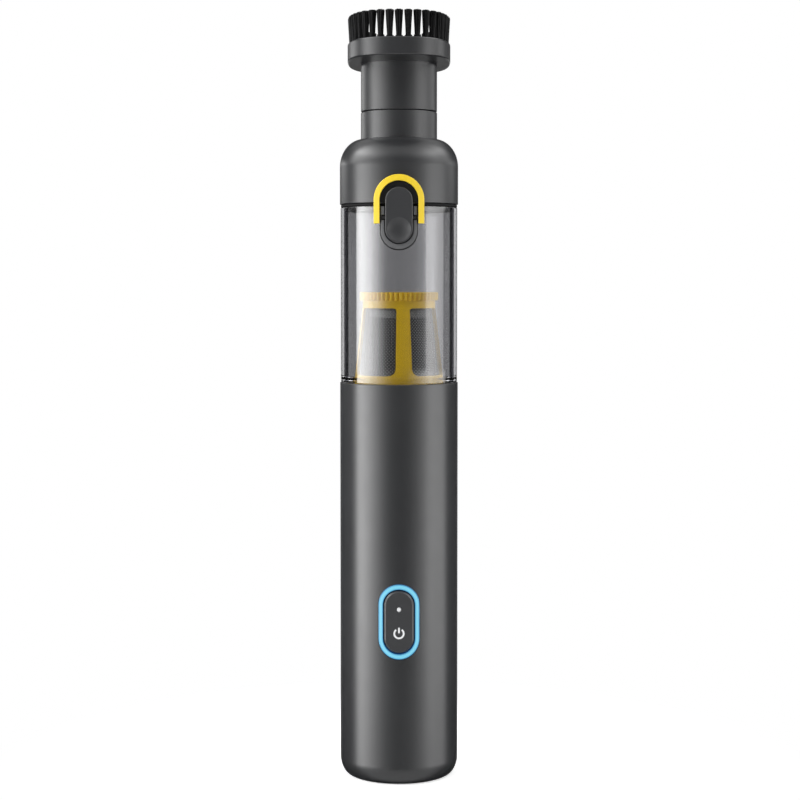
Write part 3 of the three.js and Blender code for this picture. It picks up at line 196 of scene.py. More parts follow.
# Nozzle cap
CAP_BOTTOM = 266.7
CAP_WALL = 2.0
SEAM_ROUND = 0.4
SHOULDER_CENTRE = (16.9, 284.0)
SHOULDER_RISE = 12.9
SHOULDER_MEET = 0.08
SHOULDER_STEP = 0.05
SPOUT_RADIUS = 17.7
SPOUT_TOP = 309.3
SPOUT_BORE = 15.3
TUBE_RADIUS = 17.1
TUBE_BOTTOM = 268.6
LIP_RADIUS = 22.0
LIP_HEIGHT = 1.8
WELL_WIDTH = 17.5
WELL_TOP = 276.6
WELL_WALL = 1.6
SEAL_WELL_BOTTOM = 261.7
ARCH_WIDTH = 22.9
ARCH_TOP = 279.4
ARCH_BOTTOM = 257.3
ARCH_INNER_RADIUS = 27.8
ARCH_OUTER_RADIUS = 29.1
ARCH_ROUND = 0.35
CAP_SEAL = (265.5, 266.5)
CAP_SEAL_RADIUS = 27.0
CAP_SEAL_EDGE = 0.1
SEAL_LIP = (22.4, 24.6)
SEAL_LIP_BOTTOM = 263.4
SEAL_ROUND_STEPS = 3
FLAP_RADIUS = 16.4
FLAP = (267.1, 268.3)

# Cap hinge
HINGE = (30.4, 266.0)
HINGE_AXLE_EDGE = 0.25
KNUCKLE_RADIUS = 2.6
KNUCKLE_ROUND = 2.548
KNUCKLE_STEPS = 12
KNUCKLE_HALF = 4.3
HINGE_BORE = 1.25
EAR_SPAN = (4.6, 8.2)
EAR_BOTTOM = 254.7
EAR_STEP = 259.9
EAR_ROUND = 2.4
BRACKET_HALF = 8.8
BRACKET = (248.0, 262.5)
BRACKET_RADIUS = 29.1

# Brush nozzle
NECK_RADIUS = 17.65
NECK_BOTTOM = 309.6
NOZZLE_BOTTOM = 296.0
NOZZLE_SPIGOT = 15.0
NOZZLE_BORE = 13.2
NOZZLE_GROOVE = 300.4
NOZZLE_GROOVE_HEIGHT = 1.8
COLLAR = (331.5, 339.7)
COLLAR_HALF = (23.7, 39.4)
COLLAR_POWER = 2.7
COLLAR_ROUND = 0.7
MOUTH_HALF = (17.2, 32.6)
MOUTH_DEPTH = 3.6
STRIP_INSET = 1.0
STRIP_WIDTH = 2.5
STRIP_HEIGHT = 1.8
STRIP_STEPS = 48
TUFT_INSET = 2.0
FRONT_TUFTS = 24
REAR_TUFTS = 22
STRIP_TUFTS = 9
STRANDS = 90
TUFT_FOOT = 1.05
TUFT_TIP = 1.8
REAR_DROP = 1.5
BRISTLE_LENGTH = 12.2
BRISTLE_ROOT = 0.5
STRAND_TIP = 0.14
# Radii of a strand, after their share of its length
STRAND_LEVELS = ((0.0, 0.16), (0.5, 0.15), (0.97, STRAND_TIP), (1.0, STRAND_TIP / 3))
TIP_DOME = 0.35
TIP_SPREAD = 0.18
TIP_STRAY = 0.12
TURN_STRAY = 0.2
STRAND_BOW = (-0.12, 0.02)
TUFT_DRAW = 11

# Numbers of sides and steps
SHELL_SIDES = 224
SMALL_SIDES = 64
ROUND_STEPS = 5
SHOULDER_STEPS = 36
COLLAR_SIDES = 224
COLLAR_FINE_STEPS = 400
STRAND_SIDES = 4
SMOOTH_ANGLE = math.radians(32)
FACE_WEIGHT = 100
# Corners nearer than this are one, and edges shorter than this go
MERGED = 0.002
DISSOLVED = 0.001
ON_AXIS = 1e-6
# The largest share of a side that a rounded corner takes
CORNER_SHARE = 0.49
# The span in which most noise values lie
NOISE_SPAN = (0.3, 0.7)


# Outlines

def spread(start, end, steps):
    """Evenly spaced values, both ends among them."""
    return [start + (end - start) * i / steps for i in range(steps + 1)]


def turns(count):
    return spread(0, 2 * math.pi, count)[:-1]


def polar(radius, angle):
    return (radius * math.cos(angle), radius * math.sin(angle))


def arc(centre, size, start, end, steps):
    """Points of an elliptical arc round a centre."""
    return [(centre[0] + size[0] * math.cos(angle), centre[1] + size[1] * math.sin(angle))
            for angle in spread(start, end, steps)]


def edge_curve(radius):
    """Points on a rounded edge, from its side to its face: how far in, how far below the face."""
    return [(radius * (1 - math.cos(angle)), radius * (1 - math.sin(angle)))
            for angle in spread(0, math.pi / 2, ROUND_STEPS)]


def rounded(points, steps=ROUND_STEPS):
    """A closed outline whose corners with a third value are rounded to that radius."""
    out = []
    for i, point in enumerate(points):
        here = Vector(point[:2])
        if len(point) < 3:
            out.append(tuple(here))
            continue
        before = Vector(points[i - 1][:2]) - here
        after = Vector(points[(i + 1) % len(points)][:2]) - here
        half = before.angle(after) / 2
        reach = min(point[2] / math.tan(half), before.length * CORNER_SHARE, after.length * CORNER_SHARE)
        radius = reach * math.tan(half)
        middle = (before.normalized() + after.normalized()).normalized()
        centre = here + middle * (radius / math.sin(half))
        first = here + before.normalized() * reach - centre
        last = here + after.normalized() * reach - centre
        turn = first.angle_signed(last)
        out += [tuple(centre + Matrix.Rotation(angle, 2) @ first) for angle in spread(0, -turn, steps)]
    return out


def circle(radius, steps=SMALL_SIDES, centre=(0.0, 0.0)):
    return arc(centre, (radius, radius), 0, 2 * math.pi, steps)[:-1]


def half_round(centre, radius, start, steps=SMALL_SIDES // 2):
    return arc(centre, (radius, radius), start, start + math.pi, steps)


def capsule(size, centre, steps=SMALL_SIDES // 2):
    """An upright outline with half-round ends."""
    radius = size[0] / 2
    rise = size[1] / 2 - radius
    return (half_round((0, centre + rise), radius, 0, steps)
            + half_round((0, centre - rise), radius, math.pi, steps))


def bucket(width, bottom, top):
    """An outline with a half-round bottom and an open, square top."""
    radius = width / 2
    return [(-radius, top)] + half_round((0, bottom + radius), radius, math.pi) + [(radius, top)]


def archway(width, bottom, top):
    """An outline with a half-round top and an open, square bottom."""
    radius = width / 2
    return [(radius, bottom)] + half_round((0, top - radius), radius, 0, SMALL_SIDES) + [(-radius, bottom)]


def shrunk(size, amount):
    return [side - amount for side in size]


def oval_point(angle, half):
    c, s = math.cos(angle), math.sin(angle)
    return (half[0] * math.copysign(abs(c) ** (2 / COLLAR_POWER), c),
            half[1] * math.copysign(abs(s) ** (2 / COLLAR_POWER), s))


def oval(half, inset=0.0):
    return [oval_point(angle, shrunk(half, inset)) for angle in turns(COLLAR_SIDES)]


# Meshes

def linked(name, mesh):
    piece = bpy.data.objects.new(name, mesh)
    bpy.context.scene.collection.objects.link(piece)
    return piece


def discard(piece):
    mesh = piece.data
    bpy.data.objects.remove(piece)
    bpy.data.meshes.remove(mesh)


def new_piece(name, vertices, faces):
    mesh = bpy.data.meshes.new(name)
    mesh.from_pydata([tuple(c * MM for c in v) for v in vertices], [], faces)
    work = bmesh.new()
    work.from_mesh(mesh)
    bmesh.ops.recalc_face_normals(work, faces=work.faces)
    work.to_mesh(mesh)
    work.free()
    return linked(name, mesh)


def skin(rings, loop=False, first=0):
    """Corners and faces over rings of points, the corners counted from first.

    The ends get caps, unless the last ring meets the first in a loop."""
    count = len(rings[0])
    faces = []
    for r in range(len(rings) if loop else len(rings) - 1):
        low, high = first + r * count, first + (r + 1) % len(rings) * count
        for i in range(count):
            k = (i + 1) % count
            faces.append((low + i, low + k, high + k, high + i))
    if not loop:
        last = first + (len(rings) - 1) * count
        faces += [tuple(range(first, first + count)), tuple(reversed(range(last, last + count)))]
    return [corner for ring in rings for corner in ring], faces


def loft(name, rings, loop=False):
    return new_piece(name, *skin(rings, loop))


def lathe(name, profile, sides=SHELL_SIDES):
    """A closed body of revolution about Z from a closed outline of (radius, height) points."""
    vertices, rings = [], []
    for radius, height in profile:
        ring = lying(circle(radius, sides), height) if radius > ON_AXIS else [(0.0, 0.0, height)]
        rings.append([len(vertices) + i % len(ring) for i in range(sides + 1)])
        vertices += ring
    faces = []
    for a, b in zip(rings, rings[1:] + rings[:1]):
        for i in range(sides):
            corners = dict.fromkeys((a[i], a[i + 1], b[i + 1], b[i]))
            if len(corners) > 2:
                faces.append(tuple(corners))
    return new_piece(name, vertices, faces)


def standing(outline, depth):
    return [(x, depth, z) for x, z in outline]


def lying(outline, height):
    return [(x, y, height) for x, y in outline]


def sidelong(outline, place):
    return [(place, y, z) for y, z in outline]


def plate(name, outline, front, back):
    """An outline in X and Z, carried from the front depth to the back depth."""
    return loft(name, [standing(outline, depth) for depth in (front, back)])


def slab(name, outline, bottom, top):
    """An outline in X and Y, carried from the bottom height to the top height."""
    return loft(name, [lying(outline, height) for height in (bottom, top)])


def rail(name, outline, start, end):
    """An outline in Y and Z, carried along X."""
    return loft(name, [sidelong(outline, place) for place in (start, end)])


def cross_pin(name, radius, half, centre, edge=0.0):
    """A round bar along X, with its ends' edges taken off."""
    steps = [(-half, radius - edge), (edge - half, radius), (half - edge, radius), (half, radius - edge)]
    if not edge:
        steps = [steps[0], steps[-1]]
    return loft(name, [sidelong(circle(size, centre=centre), place) for place, size in steps])


def block(name, low, high):
    outline = [(low[0], low[1]), (high[0], low[1]), (high[0], high[1]), (low[0], high[1])]
    return slab(name, outline, low[2], high[2])


def disc(name, span, bore, radius, top_edge=EDGE):
    """A flat disc or ring with rounded outer edges."""
    bottom, top = span
    outline = [(bore, bottom), (radius, bottom, EDGE), (radius, top, top_edge), (bore, top)]
    return lathe(name, rounded(outline), SHELL_SIDES // 2)


def stepped(name, size, centre, steps):
    """A capsule-shaped button from its (inset, depth) steps."""
    return loft(name, [standing(capsule(shrunk(size, 2 * inset), centre), depth) for inset, depth in steps])


def on_barrel(radius):
    """The depth of the front of a round barrel at a given X."""
    return lambda x: -math.sqrt(radius * radius - x * x)


def at_depth(depth):
    return lambda x: depth


def band(name, outline_at, section, closed):
    """A strip that follows an outline on the barrel's front.

    outline_at(share) is the outline at a share of the way across, section holds (share, depth) corners."""
    columns = [[(x, depth(x), z) for x, z in outline_at(share)] for share, depth in section]
    rings = [list(ring) for ring in zip(*columns)]
    return loft(name, rings, closed)


def both_sides(section, middle=()):
    """A strip's section from its inner half, with what stands between the halves."""
    return section + list(middle) + [(1 - share, depth) for share, depth in reversed(section)]


def between(inner, outer, share):
    return [a + (b - a) * share for a, b in zip(inner, outer)]


def combine(target, tool, operation):
    modifier = target.modifiers.new("tool", "BOOLEAN")
    modifier.object = tool
    modifier.operation = operation
    modifier.solver = "EXACT"
    bpy.context.view_layer.update()
    shown = target.evaluated_get(bpy.context.evaluated_depsgraph_get())
    result = bpy.data.meshes.new_from_object(shown)
    target.modifiers.clear()
    spent = target.data
    target.data = result
    bpy.data.meshes.remove(spent)
    discard(tool)
    return target


def cut(target, *tools):
    for tool in tools:
        combine(target, tool, "DIFFERENCE")
    return target


def join(target, *tools):
    for tool in tools:
        combine(target, tool, "UNION")
    return target


def meet(target, tool):
    return combine(target, tool, "INTERSECT")


def turned_by(piece, angle):
    piece.data.transform(Matrix.Rotation(angle, 4, "Z"))
    return piece


def gathered(name, pieces):
    """One object from separate solids that don't touch."""
    work = bmesh.new()
    for piece in pieces:
        work.from_mesh(piece.data)
    mesh = bpy.data.meshes.new(name)
    work.to_mesh(mesh)
    work.free()
    for piece in pieces:
        discard(piece)
    return linked(name, mesh)


def smooth(piece):
    """Smooth shading in which large faces keep their own direction beside narrow rounded edges."""
    piece.data.polygons.foreach_set("use_smooth", [True] * len(piece.data.polygons))
    piece.data.set_sharp_from_angle(angle=SMOOTH_ANGLE)
    weighted = piece.modifiers.new("shading", "WEIGHTED_NORMAL")
    weighted.keep_sharp = True
    weighted.weight = FACE_WEIGHT


def dress(piece, body, slot, *nodes):
    """Finishes a piece: shading, material, the body it rides on and the CAD nodes it stands for."""
    work = bmesh.new()
    work.from_mesh(piece.data)
    bmesh.ops.remove_doubles(work, verts=work.verts, dist=MERGED * MM)
    bmesh.ops.dissolve_degenerate(work, edges=work.edges, dist=DISSOLVED * MM)
    work.to_mesh(piece.data)
    work.free()
    smooth(piece)
    piece.data.materials.clear()
    piece.data.materials.append(MATERIALS[slot])
    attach(piece, body)
    if nodes:
        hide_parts(*nodes)


# Materials

def connect(socket, value):
    """Links an output to a socket, or writes a plain value into it."""
    if isinstance(value, bpy.types.NodeSocket):
        socket.id_data.links.new(value, socket)
    else:
        socket.default_value = value


def feed(node, **inputs):
    """Connects a node's sockets by their names, with underscores for spaces."""
    for name, value in inputs.items():
        connect(node.inputs[name.replace("_", " ")], value)


def add_node(tree, kind, **inputs):
    node = tree.nodes.new(f"ShaderNode{kind}")
    feed(node, **inputs)
    return node


def start_material(name, **inputs):
    material = bpy.data.materials.new(name)
    material.use_nodes = True
    tree = material.node_tree
    shader = tree.nodes["Principled BSDF"]
    feed(shader, **inputs)
    return material, tree, shader


def add_math(operation, *values):
    """One step of arithmetic over sockets and numbers, of which the first is a socket."""
    node = add_node(values[0].id_data, "Math")
    node.operation = operation
    for socket, value in zip(node.inputs, values):
        connect(socket, value)
    return node.outputs["Value"]


def times(first, second):
    return add_math("MULTIPLY", first, second)


def map_range(value, **limits):
    return add_node(value.id_data, "MapRange", Value=value, **limits).outputs["Result"]


def smooth_step(value, start, end):
    """0 before start and 1 after end, smoothly between. Start may be above end."""
    result = map_range(value, From_Min=start, From_Max=end)
    result.node.interpolation_type = "SMOOTHSTEP"
    return result


def mixed_shaders(factor, first, second):
    mix = add_node(factor.id_data, "MixShader", Fac=factor)
    connect(mix.inputs[1], first)
    connect(mix.inputs[2], second)
    return mix.outputs["Shader"]


def to_surface(tree, shader):
    tree.links.new(shader, tree.nodes["Material Output"].inputs["Surface"])


def attribute(tree, name):
    node = add_node(tree, "Attribute")
    node.attribute_name = name
    return node.outputs["Fac"]


def coordinates(tree, kind="Object"):
    return add_node(tree, "TexCoord").outputs[kind]


def axes(tree, kind="Object"):
    return add_node(tree, "SeparateXYZ", Vector=coordinates(tree, kind)).outputs


def noise(tree, scale, detail=2.0, stretch=(1.0, 1.0, 1.0)):
    """Noise over the piece's own coordinates, in grains to the metre."""
    mapping = add_node(tree, "Mapping", Vector=coordinates(tree), Scale=stretch)
    texture = add_node(tree, "TexNoise", Vector=mapping.outputs["Vector"], Scale=scale, Detail=detail)
    return texture.outputs["Fac"]


def ramp(factor, stops):
    """A colour ramp from (place, colour) stops."""
    node = add_node(factor.id_data, "ValToRGB", Fac=factor)
    elements = node.color_ramp.elements
    while len(elements) < len(stops):
        elements.new(0.5)
    for element, (place, colour) in zip(elements, stops):
        element.position = place
        element.color = (*colour, 1.0)
    return node.outputs["Color"]


def tinted(colour, share):
    return tuple(min(1.0, c * share) for c in colour)


def vary_colour(shader, factor, colour, share):
    tones = (tinted(colour, 1 - share), tinted(colour, 1 + share))
    feed(shader, Base_Color=ramp(factor, list(zip(NOISE_SPAN, tones))))


def vary_roughness(shader, factor, middle, share):
    feed(shader, Roughness=map_range(factor, To_Min=middle - share, To_Max=middle + share))


def add_bump(shader, height, strength, distance):
    bump = add_node(shader.id_data, "Bump", Strength=strength, Distance=distance * MM, Height=height)
    feed(shader, Normal=bump.outputs["Normal"])


def moulded(name, colour, roughness, drift=0.07, ior=1.5):
    """Moulded plastic: slight drifts of tone and gloss, and a fine spark-eroded grain."""
    material, tree, shader = start_material(name, IOR=ior)
    vary_colour(shader, noise(tree, scale=45.0), colour, drift)
    vary_roughness(shader, noise(tree, scale=160.0, detail=3.0), roughness, share=0.035)
    add_bump(shader, noise(tree, scale=2600.0, detail=1.0), strength=0.35, distance=0.012)
    return material


def light_guide(name):
    """A milky strip that is lit from behind, a little deeper along its edges."""
    base = (0.05, 0.16, 0.24, 1.0)
    material, tree, shader = start_material(name, Roughness=0.32, Base_Color=base, Emission_Strength=1.0)
    stops = [(0.0, (0.0, 0.02, 0.09)), (0.14, (0.04, 0.23, 0.42)), (0.3, (0.155, 0.48, 0.6)),
             (0.7, (0.165, 0.5, 0.61)), (0.86, (0.04, 0.23, 0.42)), (1.0, (0.0, 0.02, 0.09))]
    feed(shader, Emission_Color=ramp(attribute(tree, "across"), stops))
    return material


def clear_plastic(name):
    """Lightly smoked clear plastic, its colour painted nearly black in a narrow line where the outer wall
    turns side-on: a painted dark reflection in place of the line that refraction in the wall shows there.

    It lets lamps through, so that what it covers is lit."""
    material, tree, shader = start_material(name, Transmission_Weight=1.0, IOR=1.49, Coat_Weight=0.5,
                                            Coat_Roughness=0.0)
    facing = add_node(tree, "LayerWeight", Blend=0.5).outputs["Facing"]
    # clear is the plastic's own tint; side and dark are painted shade, the painted dark line on the outer
    # wall
    clear, dark = (0.4, 0.4, 0.41), (0.004, 0.004, 0.005)
    side = tinted(clear, 0.88)
    stops = [(0.34, clear), (0.38, side), (0.49, side), (0.51, dark), (0.655, dark), (0.69, clear)]
    feed(shader, Base_Color=ramp(times(facing, attribute(tree, "outside")), stops))
    vary_roughness(shader, noise(tree, scale=30.0), 0.006, share=0.006)
    passed = add_node(tree, "BsdfTransparent", Color=(0.97, 0.97, 0.97, 1.0)).outputs["BSDF"]
    path = add_node(tree, "LightPath").outputs
    lit = mixed_shaders(path["Is Diffuse Ray"], shader.outputs["BSDF"], passed)
    to_surface(tree, mixed_shaders(path["Is Shadow Ray"], lit, passed))
    return material


def woven_mesh(name):
    """Fine filter mesh: grey threads with small open holes between them."""
    threads_round, threads_up = 68.0, 4000.0
    material, tree, shader = start_material(name, Metallic=0.7, Roughness=0.4)
    place = axes(tree)
    turn = add_math("ARCTAN2", place["X"], place["Y"])
    round_wave = add_math("SINE", times(turn, threads_round))
    rise_wave = add_math("SINE", times(place["Z"], threads_up))
    weave = times(round_wave, rise_wave)
    stops = [(0.0, (0.01, 0.0105, 0.011)), (0.45, (0.03, 0.031, 0.032)), (0.9, (0.45, 0.455, 0.46))]
    feed(shader, Base_Color=ramp(map_range(weave, From_Min=-1.0), stops),
         Alpha=map_range(weave, From_Min=-0.15, From_Max=0.3, To_Min=0.03, To_Max=0.75))
    add_bump(shader, weave, strength=0.5, distance=0.1)
    return material


def pleated_cloth(name):
    """Pressed filter paper: dark, matt and slightly fibrous."""
    material, tree, shader = start_material(name, Sheen_Weight=0.25, Roughness=0.9)
    fibre = noise(tree, scale=900.0, detail=4.0, stretch=(1.0, 1.0, 0.35))
    vary_colour(shader, fibre, (0.06, 0.061, 0.064), share=0.35)
    add_bump(shader, fibre, strength=0.5, distance=0.12)
    return material


def rubber(name, colour, roughness=0.7, shine=0.5):
    material, tree, shader = start_material(name, Specular_IOR_Level=shine)
    vary_colour(shader, noise(tree, scale=120.0), colour, share=0.2)
    vary_roughness(shader, noise(tree, scale=300.0), roughness, share=0.06)
    add_bump(shader, noise(tree, scale=1500.0, detail=3.0), strength=0.3, distance=0.03)
    return material


def metal(name, colour, roughness, stretch=(1.0, 1.0, 1.0)):
    """Plated or brushed metal. A small share along one axis draws the brushing out."""
    material, tree, shader = start_material(name, Metallic=1.0)
    brushing = noise(tree, scale=700.0, detail=4.0, stretch=stretch)
    vary_colour(shader, brushing, colour, share=0.08)
    vary_roughness(shader, brushing, roughness, share=0.08)
    add_bump(shader, brushing, strength=0.15, distance=0.02)
    return material


def circuit_board(name):
    """Green lacquer over copper tracks."""
    material, tree, shader = start_material(name, Roughness=0.35)
    tracks = add_node(tree, "TexBrick", Vector=coordinates(tree), Scale=260.0, Mortar_Size=0.05,
                      Color1=(0.012, 0.1, 0.045, 1.0), Color2=(0.018, 0.125, 0.055, 1.0),
                      Mortar=(0.05, 0.22, 0.08, 1.0))
    feed(shader, Base_Color=tracks.outputs["Color"])
    add_bump(shader, tracks.outputs["Fac"], strength=0.4, distance=0.05)
    return material


def bristle(name):
    """Black nylon: each strand a little shiny."""
    material, tree, shader = start_material(name, Roughness=0.55, Specular_IOR_Level=0.15)
    vary_colour(shader, noise(tree, scale=1400.0), (0.0045, 0.0045, 0.005), share=0.5)
    return material


MATERIALS = {
    "dark_shell": moulded("satin_shell", (0.0235, 0.0242, 0.0258), 0.31, ior=1.6),
    "light_guide": light_guide("lit_guide"),
    "button_plastic": moulded("button_face", (0.034, 0.0348, 0.037), 0.4),
    "lens_plastic": moulded("white_print", (0.72, 0.73, 0.74), 0.4, 0.02),
    "yellow_plastic": moulded("yellow_trim", (0.84, 0.6, 0.022), 0.44, 0.03),
    "clear_plastic": clear_plastic("smoked_clear"),
    "black_plastic": moulded("matt_black", (0.014, 0.014, 0.015), 0.5),
    "grey_plastic": moulded("matt_grey", (0.1, 0.102, 0.106), 0.5),
    "pale_plastic": moulded("pale_moulding", (0.62, 0.63, 0.63), 0.45, 0.03),
    "black_rubber": rubber("soft_black", (0.006, 0.006, 0.0065), shine=0.2),
    "filter_mesh": woven_mesh("fine_mesh"),
    "filter_cloth": pleated_cloth("pleated_paper"),
    "circuit_board": circuit_board("green_board"),
    "cell_sleeve": moulded("blue_film", (0.04, 0.15, 0.38), 0.3),
    "motor_metal": metal("plated_can", (0.6, 0.61, 0.62), 0.35, (1.0, 1.0, 0.05)),
    "steel": metal("plain_steel", (0.55, 0.56, 0.57), 0.3),
    "red_lead": rubber("red_sleeve", (0.42, 0.02, 0.02), 0.5),
    "black_lead": rubber("black_sleeve", (0.014, 0.014, 0.014), 0.5),
    "bristle": bristle("black_nylon"),
}
# A brightened copy of the yellow plastic, painted light on the cage: it stands behind the smoked cup, so its
# yellow is made brighter and warmer than the arch's
BRIGHTENED_CAGE_YELLOW = moulded("yellow_cage", (0.92, 0.595, 0.012), 0.36, 0.03)
INNER_NODES = {
    "black_plastic": ("button_carrier", "tactile_switch", "lower_battery_tray", "upper_battery_tray",
                      "motor_mount", "fan_shroud"),
    "circuit_board": ("main_board", "charging_board"),
    "steel": ("charging_socket", "tray_screw_1", "tray_screw_2", "motor_shaft", "latch_spring"),
    "cell_sleeve": ("battery_cell_1", "battery_cell_2", "battery_cell_3"),
    "motor_metal": ("motor_can",),
    "black_rubber": ("motor_cradle", "filter_gasket"),
    "grey_plastic": ("inlet_grille",),
    "pale_plastic": ("impeller",),
    "red_lead": ("motor_lead_left",),
    "black_lead": ("motor_lead_right",),
}


def dress_inner_nodes():
    for slot, names in INNER_NODES.items():
        for name in names:
            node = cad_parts[name]
            smooth(node)
            node.data.materials.clear()
            node.data.materials.append(MATERIALS[slot])


# Handle

def handle_casing():
    width, rise = FOOT_ROUND
    foot = arc((BARREL_RADIUS - width, rise), FOOT_ROUND, -math.pi / 2, 0, SHOULDER_STEPS)
    shell = lathe("handle_shell", rounded([
        (0, 0),
        *foot,
        (BARREL_RADIUS, BARREL_TOP, SEAM_ROUND),
        (BARREL_BORE, BARREL_TOP),
        (BARREL_BORE, LEDGE_TOP),
        (BARREL_BORE - LEDGE_WIDTH, LEDGE_TOP),
        (BARREL_BORE, LEDGE_TOP - LEDGE_HEIGHT),
        (BARREL_BORE, rise),
        (BARREL_BORE - width, FOOT_THICKNESS),
        (0, FOOT_THICKNESS),
    ]))
    posts = [slab("post", circle(radius, centre=(side * distance, 0)), POST_FOOT, top)
             for distance, radius, top in POSTS for side in (-1, 1)]
    join(shell, gathered("posts", posts))
    ring_outline = capsule(shrunk(RING_OUTER, -2 * TRIM_GAP), BUTTON_CENTRE)
    ring_hole = plate("ring_hole", ring_outline, BEFORE_BARREL, RING_BACK + OVERRUN)
    half = PORT_SIZE[1] / 2
    reach = PORT_SIZE[0] / 2 - half
    port_outline = (half_round((reach, PORT_CENTRE), half, -math.pi / 2)
                    + half_round((-reach, PORT_CENTRE), half, math.pi / 2))
    rear_wall = (BARREL_BORE - OVERRUN, BARREL_RADIUS + OVERRUN)
    port = plate("port", port_outline, *rear_wall)
    slots = []
    for centre in SLOT_ROWS:
        outline = capsule(SLOT_SIZE, centre, SMALL_SIDES // 4)
        slots += [turned_by(plate("slot", outline, *rear_wall), math.radians(turn)) for turn in SLOT_TURNS]
    cut(shell, ring_hole, port, gathered("slots", slots))
    dress(shell, "handle", "dark_shell", "handle_casing")


def light_ring():
    def outline_at(share):
        return capsule(between(RING_INNER, RING_OUTER, share), BUTTON_CENTRE)

    corner = RING_ROUND / (RING_OUTER[0] - RING_INNER[0]) * 2
    side = [(0, at_depth(RING_BACK)), (0, on_barrel(RING_RADIUS - RING_ROUND))]
    side += [(corner * (1 - math.cos(angle)), on_barrel(RING_RADIUS - RING_ROUND * (1 - math.sin(angle))))
             for angle in RING_CURVE]
    face = [(share, on_barrel(RING_RADIUS)) for share in spread(corner, 1 - corner, RING_STEPS)]
    section = both_sides(side, face)
    piece = band("lit_ring", outline_at, section, True)
    count = len(outline_at(0))
    across = piece.data.attributes.new("across", "FLOAT", "POINT")
    across.data.foreach_set("value", [share for share, _ in section] * count)
    dress(piece, "handle", "light_guide", "light_ring")


def power_button():
    steps = [(inset, BUTTON_FRONT + depth) for inset, depth in BUTTON_EDGE] + [(0, BUTTON_BACK)]
    cap = stepped("button_cap", BUTTON_SIZE, BUTTON_CENTRE, steps)
    join(cap, plate("stem", circle(STEM_RADIUS, centre=(0, BUTTON_CENTRE)), *STEM))
    rim = circle(LENS_RADIUS + TRIM_GAP / 2, centre=(0, LENS_CENTRE))
    cut(cap, plate("hole", rim, BUTTON_FRONT - OVERRUN, LENS_BACK + FIT_GAP))
    dress(cap, "button", "button_plastic", "power_button")


def status_lens():
    crown = arc((0, 0), (LENS_RADIUS, LENS_CROWN), 0, math.pi / 2, ROUND_STEPS)[:-1]
    steps = [(LENS_RADIUS, LENS_BACK)] + [(radius, LENS_FRONT + LENS_CROWN - rise) for radius, rise in crown]
    rings = [standing(circle(radius, centre=(0, LENS_CENTRE)), depth) for radius, depth in steps]
    dress(loft("status_dot", rings), "button", "lens_plastic", "status_lens")


def power_symbol():
    """A broken circle with an upright bar, printed on the button."""
    depths = (BUTTON_FRONT - SYMBOL_PROUD, BUTTON_FRONT + SYMBOL_ROOT)
    start, end = math.pi / 2 + SYMBOL_GAP, math.pi * 5 / 2 - SYMBOL_GAP
    half = SYMBOL_STROKE / 2
    centre = (0, SYMBOL_CENTRE)
    outer = arc(centre, (SYMBOL_RADIUS + half,) * 2, start, end, SMALL_SIDES)
    inner = arc(centre, (SYMBOL_RADIUS - half,) * 2, end, start, SMALL_SIDES)
    bar_centre = SYMBOL_CENTRE + SYMBOL_RADIUS - SYMBOL_BAR / 4
    bar = capsule((SYMBOL_STROKE, SYMBOL_BAR), bar_centre, SYMBOL_BAR_STEPS)
    symbol = gathered("power_symbol", [plate("turn", outer + inner, *depths), plate("bar", bar, *depths)])
    dress(symbol, "button", "lens_plastic")


# Filter

def cage_radius(height):
    share = (height - WINDOW_BOTTOM) / (WINDOW_TOP - WINDOW_BOTTOM)
    return CAGE_FOOT_RADIUS + (CAGE_TOP_RADIUS - CAGE_FOOT_RADIUS) * share


def filter_cage():
    foot = cage_radius(FLANGE_TOP)
    cage = lathe("yellow_cage", rounded([
        (foot - CAGE_WALL, FILTER_BOTTOM),
        (FLANGE_RADIUS, FILTER_BOTTOM, EDGE),
        (FLANGE_RADIUS, FLANGE_TOP, SOFT_EDGE),
        (foot, FLANGE_TOP, FLANGE_FILLET),
        (CAGE_TOP_RADIUS, WINDOW_TOP),
        (CAGE_TOP_RADIUS, RIB_TOP, LIP_EDGE),
        (0, RIB_TOP),
        (0, RIB_TOP - LID_THICKNESS),
        (CAGE_TOP_RADIUS - CAGE_WALL, RIB_TOP - LID_THICKNESS),
        (CAGE_TOP_RADIUS - CAGE_WALL, WINDOW_TOP),
        (foot - CAGE_WALL, FLANGE_TOP),
    ]))
    right = list(WINDOW_CORNERS)
    left = [(-half, height, corner) for half, height, corner in reversed(right)]
    outline = rounded(left[1:] + right + left[:1], WINDOW_ROUND_STEPS)
    for quarter in range(4):
        window = plate("window", outline, -BARREL_RADIUS, -WINDOW_REACH)
        cut(cage, turned_by(window, math.pi / 4 + FILTER_TURN + quarter * math.pi / 2))
    join(cage, rib_ring())
    dress(cage, "filter", "yellow_plastic", "filter_cage")
    # The cage takes the brightened copy of the yellow, painted light against the shade of the smoked cup
    cage.data.materials[0] = BRIGHTENED_CAGE_YELLOW


def rib_ring():
    """The toothed band round the cage's top, its teeth rounded."""
    count = RIBS * RIB_STEPS

    def outline(inset):
        points = []
        for angle in turns(count):
            tooth = abs(math.sin(RIBS / 2 * (angle - FILTER_TURN))) ** RIB_POWER
            points.append(polar(RIB_RADIUS - inset - RIB_DEPTH * (1 - tooth), angle))
        return points

    levels = [(RIB_BOTTOM + rise, inset) for rise, inset in RIB_EDGE]
    levels += [(RIB_TOP - max(drop, RIB_SINK), inset) for drop, inset in reversed(RIB_EDGE)]
    inner = circle(CAGE_TOP_RADIUS - CAGE_WALL / 2, count)
    rings = [lying(outline(inset), height) for height, inset in levels]
    rings += [lying(inner, height) for height in (RIB_TOP - RIB_SINK, RIB_BOTTOM)]
    return loft("ribs", rings, True)


